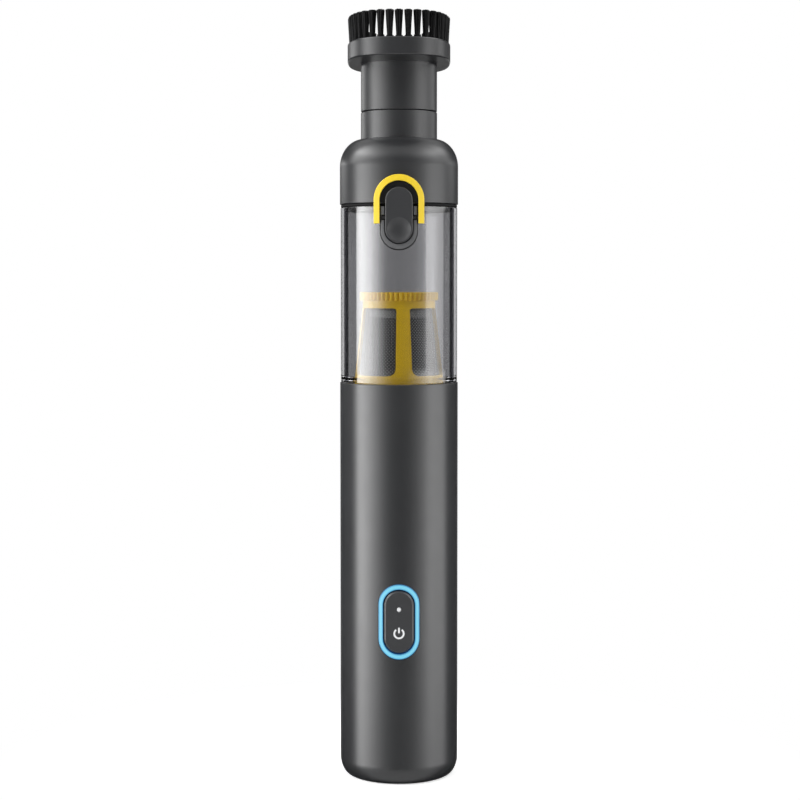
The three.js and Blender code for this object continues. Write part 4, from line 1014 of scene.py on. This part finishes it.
def mesh_sleeve():
    foot = cage_radius(FLANGE_TOP) - CAGE_WALL - FIT_GAP
    top = CAGE_TOP_RADIUS - CAGE_WALL - FIT_GAP
    ceiling = RIB_TOP - LID_THICKNESS - FIT_GAP
    sleeve = lathe("fine_sleeve", [
        (foot - SLEEVE_WALL, FILTER_BOTTOM + FIT_GAP),
        (foot, FILTER_BOTTOM + FIT_GAP),
        (top, WINDOW_TOP),
        (top, ceiling),
        (top - SLEEVE_WALL, ceiling),
        (top - SLEEVE_WALL, WINDOW_TOP),
    ])
    dress(sleeve, "filter", "filter_mesh", "mesh_sleeve")


def pleated_filter():
    count = PLEATS * PLEAT_STEPS
    fold = []
    for angle in turns(count):
        wave = math.asin(PLEAT_SHARPNESS * math.cos(PLEATS * angle)) / math.asin(PLEAT_SHARPNESS)
        fold.append(polar((PLEAT_OUTER + PLEAT_INNER) / 2 + (PLEAT_OUTER - PLEAT_INNER) / 2 * wave, angle))
    rings = [lying(fold, height) for height in spread(PLEAT_BOTTOM, PLEAT_TOP, PLEAT_LEVELS)]
    rings += [lying(circle(PLEAT_BORE, count), height) for height in (PLEAT_TOP, PLEAT_BOTTOM)]
    dress(loft("pleats", rings, True), "filter", "filter_cloth", "pleated_filter")


def pleat_ends():
    rim = disc("pleat_cap", PLEAT_RIM, 0, PLEAT_RIM_RADIUS, SOFT_EDGE)
    dress(rim, "filter", "pale_plastic", "pleat_rim")
    outer = cage_radius(FLANGE_TOP) - CAGE_WALL - 2 * FIT_GAP - SLEEVE_WALL
    dress(disc("pleat_base", PLEAT_FOOT, PLEAT_BORE, outer), "filter", "grey_plastic", "pleat_foot")


# Dust cup, latch and hinge bracket

def groove_in(radius, bottom, height):
    """Corners of a seal's groove in a spigot."""
    root = radius - GROOVE_DEPTH
    return [(radius, bottom), (root, bottom), (root, bottom + height), (radius, bottom + height)]


def seal_ring(name, radius, groove, height):
    """A rubber ring in a groove, whose face rises to a rounded ridge."""
    inner, outer = radius - GROOVE_DEPTH + SEAL_SLACK, radius + SEAL_PROUD
    bottom = groove + SEAL_SLACK
    top = bottom + height - 2 * SEAL_SLACK
    middle = (bottom + top) / 2
    return lathe(name, rounded([
        (inner, bottom),
        (outer - 2 * SEAL_STEP, bottom, SEAL_CORNER),
        (outer - SEAL_STEP, middle - 2 * SEAL_STEP, SEAL_STEP),
        (outer, middle, 2 * SEAL_STEP),
        (outer - SEAL_STEP, middle + 2 * SEAL_STEP, SEAL_STEP),
        (outer - 2 * SEAL_STEP, top, SEAL_CORNER),
        (inner, top),
    ]))


def dust_cup():
    groove = CUP_BOTTOM + GROOVE_RISE
    cup = lathe("clear_cup", rounded([
        (SPIGOT_BORE, CUP_BOTTOM),
        (SPIGOT_RADIUS, CUP_BOTTOM, EDGE),
        *groove_in(SPIGOT_RADIUS, groove, GROOVE_HEIGHT),
        (SPIGOT_RADIUS, CUP_SHOULDER),
        (CUP_RADIUS, CUP_SHOULDER, EDGE),
        (CUP_RADIUS, CUP_TOP, LIP_EDGE),
        (CUP_BORE, CUP_TOP, EDGE),
        (CUP_BORE, CUP_SHOULDER + STEP_HEIGHT, STEP_ROUND),
        (SPIGOT_BORE, CUP_SHOULDER),
    ]), SHELL_SIDES + SMALL_SIDES)
    outline = bucket(LATCH_OUTER[0] + 2 * FIT_GAP, LATCH_OUTER[1] - FIT_GAP, CUP_TOP + OVERRUN)
    cut(cup, plate("notch", outline, BEFORE_BARREL, LATCH_FLOOR_BACK))
    # Marks the cup's outer surface, the only place where the painted dark line is drawn
    middle = (CUP_RADIUS + CUP_BORE) / 2 * MM
    outside = cup.data.attributes.new("outside", "FLOAT", "POINT")
    outside.data.foreach_set("value", [float(v.co.xy.length > middle) for v in cup.data.vertices])
    dress(cup, "cup", "clear_plastic", "dust_cup")
    dress(seal_ring("cup_ring", SPIGOT_RADIUS, groove, GROOVE_HEIGHT), "cup", "black_rubber", "cup_seal")


def latch_base():
    def outline_at(share):
        width, bottom = between(LATCH_INNER, LATCH_OUTER, share)
        return bucket(width, bottom, LATCH_TOP)

    share = LATCH_EDGE / (LATCH_OUTER[0] - LATCH_INNER[0]) * 2
    section = both_sides([
        (0, at_depth(LATCH_FLOOR_BACK)),
        (0, on_barrel(LATCH_RADIUS - LATCH_EDGE)),
        (share * LATCH_BEVEL, on_barrel(LATCH_RADIUS - LATCH_EDGE * LATCH_BEVEL)),
        (share, on_barrel(LATCH_RADIUS)),
    ])
    rim = band("latch_rim", outline_at, section, False)
    join(rim, plate("floor", bucket(*LATCH_FLOOR, LATCH_TOP), LATCH_FLOOR_FRONT, LATCH_FLOOR_BACK))
    half = LATCH_OUTER[0] / 2 - TRIM_GAP
    reach = PIN_RADIUS + TRIM_GAP
    depth, height = PIVOT
    slot = block("slot", (-half, -LATCH_RADIUS - OVERRUN, height - reach), (half, depth, height + reach))
    seat = cross_pin("seat", reach, half, PIVOT)
    dress(cut(rim, slot, seat), "cup", "grey_plastic", "latch_base")
    # A dark rubber band round the surround, painted shadow for the shade in its gap to the cup
    section = [(share, on_barrel(radius)) for share, radius in LATCH_SHADOW_LINE]
    dress(band("latch_shadow_line", outline_at, section, False), "cup", "black_rubber")
    pin = cross_pin("latch_axle", PIN_RADIUS, PIN_HALF, PIVOT, PIN_EDGE)
    dress(pin, "cup", "black_plastic", "latch_pin")


def latch_lever():
    steps = [(inset, LEVER_FRONT + depth) for inset, depth in reversed(edge_curve(LEVER_ROUND))]
    steps += [(0, LEVER_BACK - LEVER_BEVEL), (LEVER_BEVEL, LEVER_BACK)]
    lever = stepped("lever", LEVER_SIZE, LEVER_CENTRE, steps)
    bowl = (DIMPLE_RADIUS ** 2 + DIMPLE_DEPTH ** 2) / (2 * DIMPLE_DEPTH)
    dish = []
    for turn in spread(math.asin(DIMPLE_RADIUS / bowl) * DIMPLE_REACH, 0, DIMPLE_STEPS):
        radius, rise = polar(bowl, math.pi / 2 - turn - DIMPLE_TIP)
        outline = circle(radius, centre=(0, DIMPLE_CENTRE))
        dish.append(standing(outline, LEVER_FRONT + DIMPLE_DEPTH - bowl + rise))
    join(lever, cross_pin("hub", HUB_RADIUS, LEVER_SIZE[0] / 2 - LEVER_ROUND, PIVOT))
    depth, height = PIVOT
    pocket = block("pocket", (-SPRING_HALF, depth, height - SPRING_REACH),
                   (SPRING_HALF, depth + HUB_RADIUS + OVERRUN, height + SPRING_REACH))
    bore = cross_pin("bore", SPRING_REACH, SPRING_HALF, PIVOT)
    hole = cross_pin("hole", PIN_RADIUS + FIT_GAP, LEVER_SIZE[0], PIVOT)
    cut(lever, loft("dish", dish), pocket, bore, hole)
    dress(lever, "lever", "button_plastic", "latch_lever")


def hinge_bracket():
    low, high = BRACKET
    depth, height = HINGE
    front, back, top = depth - KNUCKLE_RADIUS, depth + KNUCKLE_RADIUS, height + KNUCKLE_RADIUS
    shell = lathe("bracket", [(BARREL_RADIUS, low), (BRACKET_RADIUS, low), (BRACKET_RADIUS, high),
                              (BARREL_RADIUS, high)])
    meet(shell, plate("frame", bucket(2 * BRACKET_HALF, low, high), 0, BARREL_RADIUS + 2 * OVERRUN))
    ear = rounded([
        (CUP_RADIUS, EAR_BOTTOM),
        (back, EAR_BOTTOM, EAR_ROUND),
        (back, top, KNUCKLE_ROUND),
        (front, top, KNUCKLE_ROUND),
        (front, EAR_STEP),
        (CUP_RADIUS, EAR_STEP),
    ], KNUCKLE_STEPS)
    inner, outer = EAR_SPAN
    join(shell, rail("ear", ear, -outer, -inner), rail("ear", ear, inner, outer))
    clear = slab("clear", circle(BARREL_RADIUS, SHELL_SIDES), low - OVERRUN, height)
    hole = cross_pin("hole", HINGE_BORE, BRACKET_HALF, HINGE)
    dress(cut(shell, clear, hole), "cup", "dark_shell", "hinge_bracket")
    pin = cross_pin("hinge_axle", PIN_RADIUS, outer, HINGE, HINGE_AXLE_EDGE)
    dress(pin, "cup", "steel", "hinge_pin")


# Nozzle cap

def latch_well(bottom):
    """What is cut out of the cap and its seal for the latch."""
    return plate("well", archway(WELL_WIDTH, bottom, WELL_TOP), BEFORE_BARREL, LATCH_FLOOR_FRONT)


def nozzle_cap():
    width = BARREL_RADIUS - SHOULDER_CENTRE[0]
    outer = arc(SHOULDER_CENTRE, (width, SHOULDER_RISE), 0, math.pi / 2 - SHOULDER_MEET, SHOULDER_STEPS)
    lowered = (SHOULDER_CENTRE[0], SHOULDER_CENTRE[1] - CAP_WALL / 2)
    inner = arc(lowered, (width - CAP_WALL, SHOULDER_RISE - CAP_WALL), math.pi / 2 - SHOULDER_MEET, 0,
                SHOULDER_STEPS // 2)
    cap = lathe("cap_shell", rounded([
        (LIP_RADIUS, CAP_BOTTOM, FINE_EDGE),
        (BARREL_RADIUS, CAP_BOTTOM, SEAM_ROUND),
        *outer,
        (SPOUT_RADIUS, outer[-1][1] + SHOULDER_STEP),
        (SPOUT_RADIUS, SPOUT_TOP, SEAM_ROUND),
        (SPOUT_BORE, SPOUT_TOP, EDGE),
        (SPOUT_BORE, TUBE_BOTTOM),
        (TUBE_RADIUS, TUBE_BOTTOM),
        *inner,
        (BARREL_BORE, CAP_BOTTOM + LIP_HEIGHT + CAP_WALL),
        (LIP_RADIUS, CAP_BOTTOM + LIP_HEIGHT),
    ]))
    mid_wall = BARREL_RADIUS - CAP_WALL / 2
    wall = plate("well_wall", archway(WELL_WIDTH + 2 * WELL_WALL, CAP_BOTTOM, WELL_TOP + WELL_WALL),
                 -BARREL_RADIUS, LATCH_FLOOR_BACK)
    meet(wall, slab("limit", circle(mid_wall, SHELL_SIDES), 0, SPOUT_TOP))
    depth, height = HINGE
    front, back = depth - KNUCKLE_RADIUS, depth + KNUCKLE_RADIUS
    low, high = height - KNUCKLE_RADIUS, height + KNUCKLE_RADIUS
    knuckle = rounded([
        (mid_wall, CAP_BOTTOM),
        (front, CAP_BOTTOM),
        (front, low, KNUCKLE_ROUND),
        (back, low, KNUCKLE_ROUND),
        (back, high, KNUCKLE_ROUND),
        (mid_wall, high),
    ], KNUCKLE_STEPS)
    join(cap, wall, rail("knuckle", knuckle, -KNUCKLE_HALF, KNUCKLE_HALF))
    bore = cross_pin("bore", HINGE_BORE, KNUCKLE_HALF + OVERRUN, HINGE)
    dress(cut(cap, latch_well(CAP_BOTTOM - OVERRUN), bore), "cap", "dark_shell", "nozzle_cap")


def cap_seal():
    """The flat ring under the cap, with a lip that hangs into the cup's mouth."""
    low, high = CAP_SEAL
    inner, outer = SEAL_LIP
    seal = lathe("cap_ring", rounded([
        (LIP_RADIUS, low, CAP_SEAL_EDGE),
        (inner, low),
        (inner, SEAL_LIP_BOTTOM, FINE_EDGE),
        (outer, SEAL_LIP_BOTTOM, FINE_EDGE),
        (outer, low),
        (CAP_SEAL_RADIUS, low, FINE_EDGE),
        (CAP_SEAL_RADIUS, high, FINE_EDGE),
        (LIP_RADIUS, high, FINE_EDGE),
    ], SEAL_ROUND_STEPS))
    half = LATCH_OUTER[0] / 2 + FIT_GAP
    gap = block("gap", (-half, -BARREL_RADIUS, SEAL_LIP_BOTTOM - OVERRUN), (half, -LIP_RADIUS + FIT_GAP, low))
    dress(cut(seal, latch_well(SEAL_WELL_BOTTOM), gap), "cap", "black_rubber", "cap_seal")


def arch_trim():
    def outline_at(share):
        width, top = between((WELL_WIDTH, WELL_TOP), (ARCH_WIDTH, ARCH_TOP), share)
        return archway(width, ARCH_BOTTOM, top)

    scale = 2 / (ARCH_WIDTH - WELL_WIDTH)
    edge = [(inset * scale, on_barrel(ARCH_OUTER_RADIUS - drop)) for inset, drop in edge_curve(ARCH_ROUND)]
    section = both_sides([(0, on_barrel(ARCH_INNER_RADIUS))] + edge)
    dress(band("yellow_arch", outline_at, section, False), "cap", "yellow_plastic", "arch_trim")


def inlet_flap():
    dress(disc("flap_disc", FLAP, 0, FLAP_RADIUS), "flap", "black_rubber", "inlet_flap")


# Brush nozzle

def brush_nozzle():
    low, high = COLLAR
    middle = (low + high) / 2
    neck = lathe("nozzle_body", rounded([
        (0, NOZZLE_BOTTOM),
        (NOZZLE_SPIGOT, NOZZLE_BOTTOM, EDGE),
        *groove_in(NOZZLE_SPIGOT, NOZZLE_GROOVE, NOZZLE_GROOVE_HEIGHT),
        (NOZZLE_SPIGOT, NECK_BOTTOM),
        (NECK_RADIUS, NECK_BOTTOM, SEAM_ROUND),
        (NECK_RADIUS, middle),
        (0, middle),
    ]))
    edge = edge_curve(COLLAR_ROUND)
    steps = [(drop, low + inset) for inset, drop in edge] + [(inset, high - drop) for inset, drop in edge]
    join(neck, loft("collar", [lying(oval(COLLAR_HALF, inset), height) for inset, height in steps]))
    above = high + OVERRUN
    mouth = slab("mouth", oval(MOUTH_HALF), high - MOUTH_DEPTH, above)
    duct = slab("duct", circle(NOZZLE_BORE, SHELL_SIDES), NOZZLE_BOTTOM - OVERRUN, above)
    outer = oval(COLLAR_HALF, STRIP_INSET - TRIM_GAP)
    inner = oval(COLLAR_HALF, STRIP_INSET + STRIP_WIDTH + TRIM_GAP)
    bottom = high - STRIP_HEIGHT - TRIM_GAP
    corners = ((outer, bottom), (outer, above), (inner, above), (inner, bottom))
    trench = loft("trench", [lying(ring, height) for ring, height in corners], True)
    dress(cut(neck, mouth, duct, trench), "brush", "dark_shell", "brush_nozzle")
    seal = seal_ring("nozzle_ring", NOZZLE_SPIGOT, NOZZLE_GROOVE, NOZZLE_GROOVE_HEIGHT)
    dress(seal, "nozzle_ring", "black_rubber", "nozzle_seal")


def even_angles(start, count):
    """Angles that space tufts evenly along one half of the oval."""
    half = shrunk(COLLAR_HALF, TUFT_INSET)
    angles = spread(start, start + math.pi, COLLAR_FINE_STEPS)
    points = [Vector(oval_point(angle, half)) for angle in angles]
    lengths = [0.0]
    for a, b in zip(points, points[1:]):
        lengths.append(lengths[-1] + (b - a).length)
    return list(numpy.interp(spread(0, lengths[-1], count)[:-1], lengths, angles))


def strand(vertices, faces, foot, tip, bend):
    """One tapered bristle with a slight bow, added to a growing mesh."""
    rings = []
    for share, radius in STRAND_LEVELS:
        centre = foot.lerp(tip, share) + bend * (share * (1 - share) * 4)
        rings.append(lying(circle(radius, STRAND_SIDES, centre), centre.z))
    corners, sides = skin(rings, first=len(vertices))
    vertices.extend(corners)
    faces.extend(sides)


def tuft(vertices, faces, angle, draw):
    x, y = oval_point(angle, shrunk(COLLAR_HALF, TUFT_INSET))
    foot_height = COLLAR[1] - BRISTLE_ROOT
    length = BRISTLE_LENGTH + BRISTLE_ROOT
    rear = REAR_DROP * max(0.0, y / COLLAR_HALF[1]) ** 2
    for i in range(STRANDS):
        share = math.sqrt((i + 0.5) / STRANDS)
        turn = i * math.pi * (3 - math.sqrt(5)) + draw.uniform(-TURN_STRAY, TURN_STRAY)
        lean = Vector((*polar(1, turn), 0))
        foot = Vector((x, y, foot_height)) + lean * share * TUFT_FOOT
        drop = TIP_DOME * share ** 3 + draw.uniform(0, TIP_SPREAD) + rear
        tip = Vector((x, y, foot_height + length - drop)) + lean * share * TUFT_TIP
        tip += Vector((draw.uniform(-TIP_STRAY, TIP_STRAY), draw.uniform(-TIP_STRAY, TIP_STRAY), 0))
        strand(vertices, faces, foot, tip, lean * share * draw.uniform(*STRAND_BOW))


def bristle_strips():
    """The four quarters of the brush, each a black strip with its tufts."""
    angles = even_angles(math.pi, FRONT_TUFTS) + even_angles(2 * math.pi, REAR_TUFTS)
    front_first = (FRONT_TUFTS - STRIP_TUFTS + 1) // 2
    rear_first = FRONT_TUFTS + (REAR_TUFTS - STRIP_TUFTS + 1) // 2
    bounds = [front_first, front_first + STRIP_TUFTS, rear_first, rear_first + STRIP_TUFTS]
    draw = random.Random(TUFT_DRAW)
    trim = FIT_GAP / COLLAR_HALF[0]

    def unwrapped(i):
        return angles[i % len(angles)] + (2 * math.pi if i >= len(angles) else 0)

    for quarter, name in enumerate(("left", "front", "right", "rear")):
        first, last = bounds[(quarter + 3) % 4], bounds[quarter]
        count = (last - first) % len(angles)
        start = (unwrapped(first) + unwrapped(first + len(angles) - 1) - 2 * math.pi) / 2
        end = (unwrapped(first + count) + unwrapped(first + count - 1)) / 2
        strip_turns = spread(start + trim, end - trim, STRIP_STEPS)
        outer = [oval_point(a, shrunk(COLLAR_HALF, STRIP_INSET)) for a in strip_turns]
        inner = [oval_point(a, shrunk(COLLAR_HALF, STRIP_INSET + STRIP_WIDTH)) for a in reversed(strip_turns)]
        base = slab("base", outer + inner, COLLAR[1] - STRIP_HEIGHT, COLLAR[1])
        vertices, faces = [], []
        for i in range(count):
            tuft(vertices, faces, unwrapped(first + i), draw)
        strip = gathered(f"tufts_{name}", [base, new_piece("strands", vertices, faces)])
        dress(strip, "brush", "bristle", f"bristle_strip_{name}")


# Studio

WHITE = (1.0, 1.0, 1.0, 1.0)
CAMERA_PLACE = (0.00047, -0.861, 0.231)
CAMERA_LENS = 82.9
CAMERA_TILT = math.radians(2.93)
CAMERA_SHIFT = -0.03
LIGHT_PEAK = 10.0
FLOOR_RADIUS = 250.0
FLOOR_THICKNESS = 4.0
FLOOR_FADE = (0.05, 0.2)
FLOOR_GLOW = 0.5
# Brightness by azimuth in degrees, 0 towards the camera and 90 to its right, as shares of the peak
STUDIO_SHARES = [
    (-177, 0.02), (-172, 0.07), (-166, 0.07), (-162, 0.004), (-92, 0.004), (-89, 0.86), (-78, 0.9),
    (-64, 0.7), (-50, 0.42), (-38, 0.22), (-25, 0.08), (-12, 0.015), (0, 0.006), (15, 0.015), (27, 0.07),
    (40, 0.17), (53, 0.34), (62, 0.48), (68, 0.5), (72, 0.4), (95, 0.36), (101, 0.24), (106, 0.004),
    (162, 0.004), (166, 0.08), (172, 0.08), (177, 0.02),
]
# The same at the cup's height, where the edges of the lights show sharply
CUP_SHARES = [
    (-172, 0.1), (-168, 0.004), (-93.5, 0.004), (-91, 0.7), (-86, 0.82), (-80, 0.86), (-65, 0.7),
    (-58, 0.62), (-52, 0.45), (-45, 0.36), (-39, 0.22), (-33, 0.13), (-27, 0.05), (-20, 0.02), (0, 0.006),
    (33, 0.02), (46, 0.05), (53, 0.1), (56, 0.34), (66, 0.38), (80, 0.31), (89, 0.25), (96, 0.2), (99, 0.004),
    (168, 0.004), (172, 0.1),
]
CUP_BAND = (-0.052, -0.046, 0.036, 0.042)
# The same at the neck's height, where the lights stand farther apart
NECK_SHARES = [
    (-158, 0.02), (-150, 0.2), (-142, 0.36), (-126, 0.36), (-117, 0.06), (-105, 0.0), (-45, 0.02),
    (-25, 0.06), (0, 0.065), (30, 0.03), (45, 0.0), (98, 0.0), (106, 0.08), (114, 0.28), (128, 0.28),
    (136, 0.08), (142, 0.02),
]
NECK_BAND = (0.065, 0.075, 0.13, 0.17)
LIGHT_FOOT = (-0.38, -0.15)
LIGHT_HEAD = (0.95, 0.5)
DIM_BAND = (0.1, 0.14, 0.36, 0.56)
DIM = 0.6
LEAN_EDGE = (0.13, 0.17)
LEAN = 0.2
OVERHEAD = 0.7
OVERHEAD_EDGE = (0.45, 0.65)
UNDER_FRONT = 0.85
UNDER_EDGE = (-0.3, -0.42)
FRONT_EDGE = (0.1, -0.3)
REAR_EDGE = (-0.1, 0.2)


def by_azimuth(turn, shares):
    return ramp(turn, [((angle + 180) / 360, (share,) * 3) for angle, share in shares])


def within(value, span):
    """1 between the two middle values of a span, fading to 0 at the outer two."""
    return times(smooth_step(value, span[0], span[1]), smooth_step(value, span[3], span[2]))


def mixed_values(factor, first, second):
    return add_math("MULTIPLY_ADD", factor, add_math("SUBTRACT", second, first), first)


def studio_world():
    """White to the camera and through clear plastic. Elsewhere two tall soft lights and dark flags."""
    world = bpy.data.worlds.new("studio")
    bpy.context.scene.world = world
    world.use_nodes = True
    tree = world.node_tree
    tree.nodes.clear()
    way = axes(tree, "Generated")
    rise = way["Z"]
    azimuth = add_math("ARCTAN2", way["X"], times(way["Y"], -1.0))
    share = add_math("DIVIDE", azimuth, 2 * math.pi)
    lean = add_math("MULTIPLY_ADD", smooth_step(rise, *LEAN_EDGE), LEAN, 1.0)
    leaned = add_math("ADD", add_math("DIVIDE", share, lean), 0.5)
    level = by_azimuth(leaned, STUDIO_SHARES)
    turn = add_math("ADD", share, 0.5)
    for span, shares in ((CUP_BAND, CUP_SHARES), (NECK_BAND, NECK_SHARES)):
        level = mixed_values(within(rise, span), level, by_azimuth(turn, shares))
    dimmed = add_math("MULTIPLY_ADD", within(rise, DIM_BAND), -DIM, 1.0)
    tall = times(smooth_step(rise, *LIGHT_FOOT), smooth_step(rise, *LIGHT_HEAD))
    lights = times(times(times(level, dimmed), tall), LIGHT_PEAK)
    overhead = times(smooth_step(rise, *OVERHEAD_EDGE), OVERHEAD)
    under = times(smooth_step(rise, *UNDER_EDGE), smooth_step(way["Y"], *FRONT_EDGE))
    fill = add_math("MULTIPLY_ADD", under, UNDER_FRONT, overhead)
    path = add_node(tree, "LightPath").outputs
    straight = add_math("LESS_THAN", path["Glossy Depth"], 0.5)
    rearward = smooth_step(way["Y"], *REAR_EDGE)
    through = times(path["Is Transmission Ray"], add_math("MAXIMUM", straight, rearward))
    mix = add_node(tree, "Mix")
    mix.data_type = "RGBA"
    feed(mix, Factor=add_math("MAXIMUM", path["Is Camera Ray"], through),
         A=add_math("ADD", lights, fill), B=WHITE)
    background = add_node(tree, "Background", Color=mix.outputs["Result"])
    output = add_node(tree, "OutputWorld")
    tree.links.new(background.outputs["Background"], output.inputs["Surface"])


def studio_floor():
    """A pale floor that keeps the shadow near the object and runs out into the white background.

    Reflections look past it to the studio."""
    floor = slab("studio_floor", circle(FLOOR_RADIUS, SHELL_SIDES), -FLOOR_THICKNESS, 0.0)
    smooth(floor)
    material, tree, shader = start_material("pale_floor", Roughness=0.9, Specular_IOR_Level=0.1)
    vary_colour(shader, noise(tree, scale=6.0), (0.8, 0.8, 0.8), share=0.01)
    glow = add_node(tree, "Emission", Color=WHITE, Strength=FLOOR_GLOW)
    backdrop = add_node(tree, "Emission", Color=WHITE)
    near = add_node(tree, "AddShader")
    connect(near.inputs[0], shader.outputs["BSDF"])
    connect(near.inputs[1], glow.outputs["Emission"])
    distance = add_node(tree, "VectorMath")
    distance.operation = "LENGTH"
    connect(distance.inputs["Vector"], coordinates(tree))
    faded = smooth_step(distance.outputs["Value"], *FLOOR_FADE)
    seen = mixed_shaders(faded, near.outputs["Shader"], backdrop.outputs["Emission"])
    past = add_node(tree, "BsdfTransparent").outputs["BSDF"]
    path = add_node(tree, "LightPath").outputs
    lit = mixed_shaders(path["Is Glossy Ray"], shader.outputs["BSDF"], past)
    to_surface(tree, mixed_shaders(path["Is Camera Ray"], lit, seen))
    floor.data.materials.append(material)


def studio_camera():
    camera = linked("camera", bpy.data.cameras.new("camera"))
    camera.data.lens = CAMERA_LENS
    camera.data.shift_y = CAMERA_SHIFT
    camera.location = CAMERA_PLACE
    camera.rotation_euler = (math.pi / 2 - CAMERA_TILT, 0, 0)
    bpy.context.scene.camera = camera


bpy.context.scene.view_settings.view_transform = "Standard"
studio_camera()
studio_world()
studio_floor()
dress_inner_nodes()
handle_casing()
light_ring()
power_button()
status_lens()
power_symbol()
filter_cage()
mesh_sleeve()
pleated_filter()
pleat_ends()
dust_cup()
latch_base()
latch_lever()
hinge_bracket()
nozzle_cap()
cap_seal()
arch_trim()
inlet_flap()
brush_nozzle()
bristle_strips()
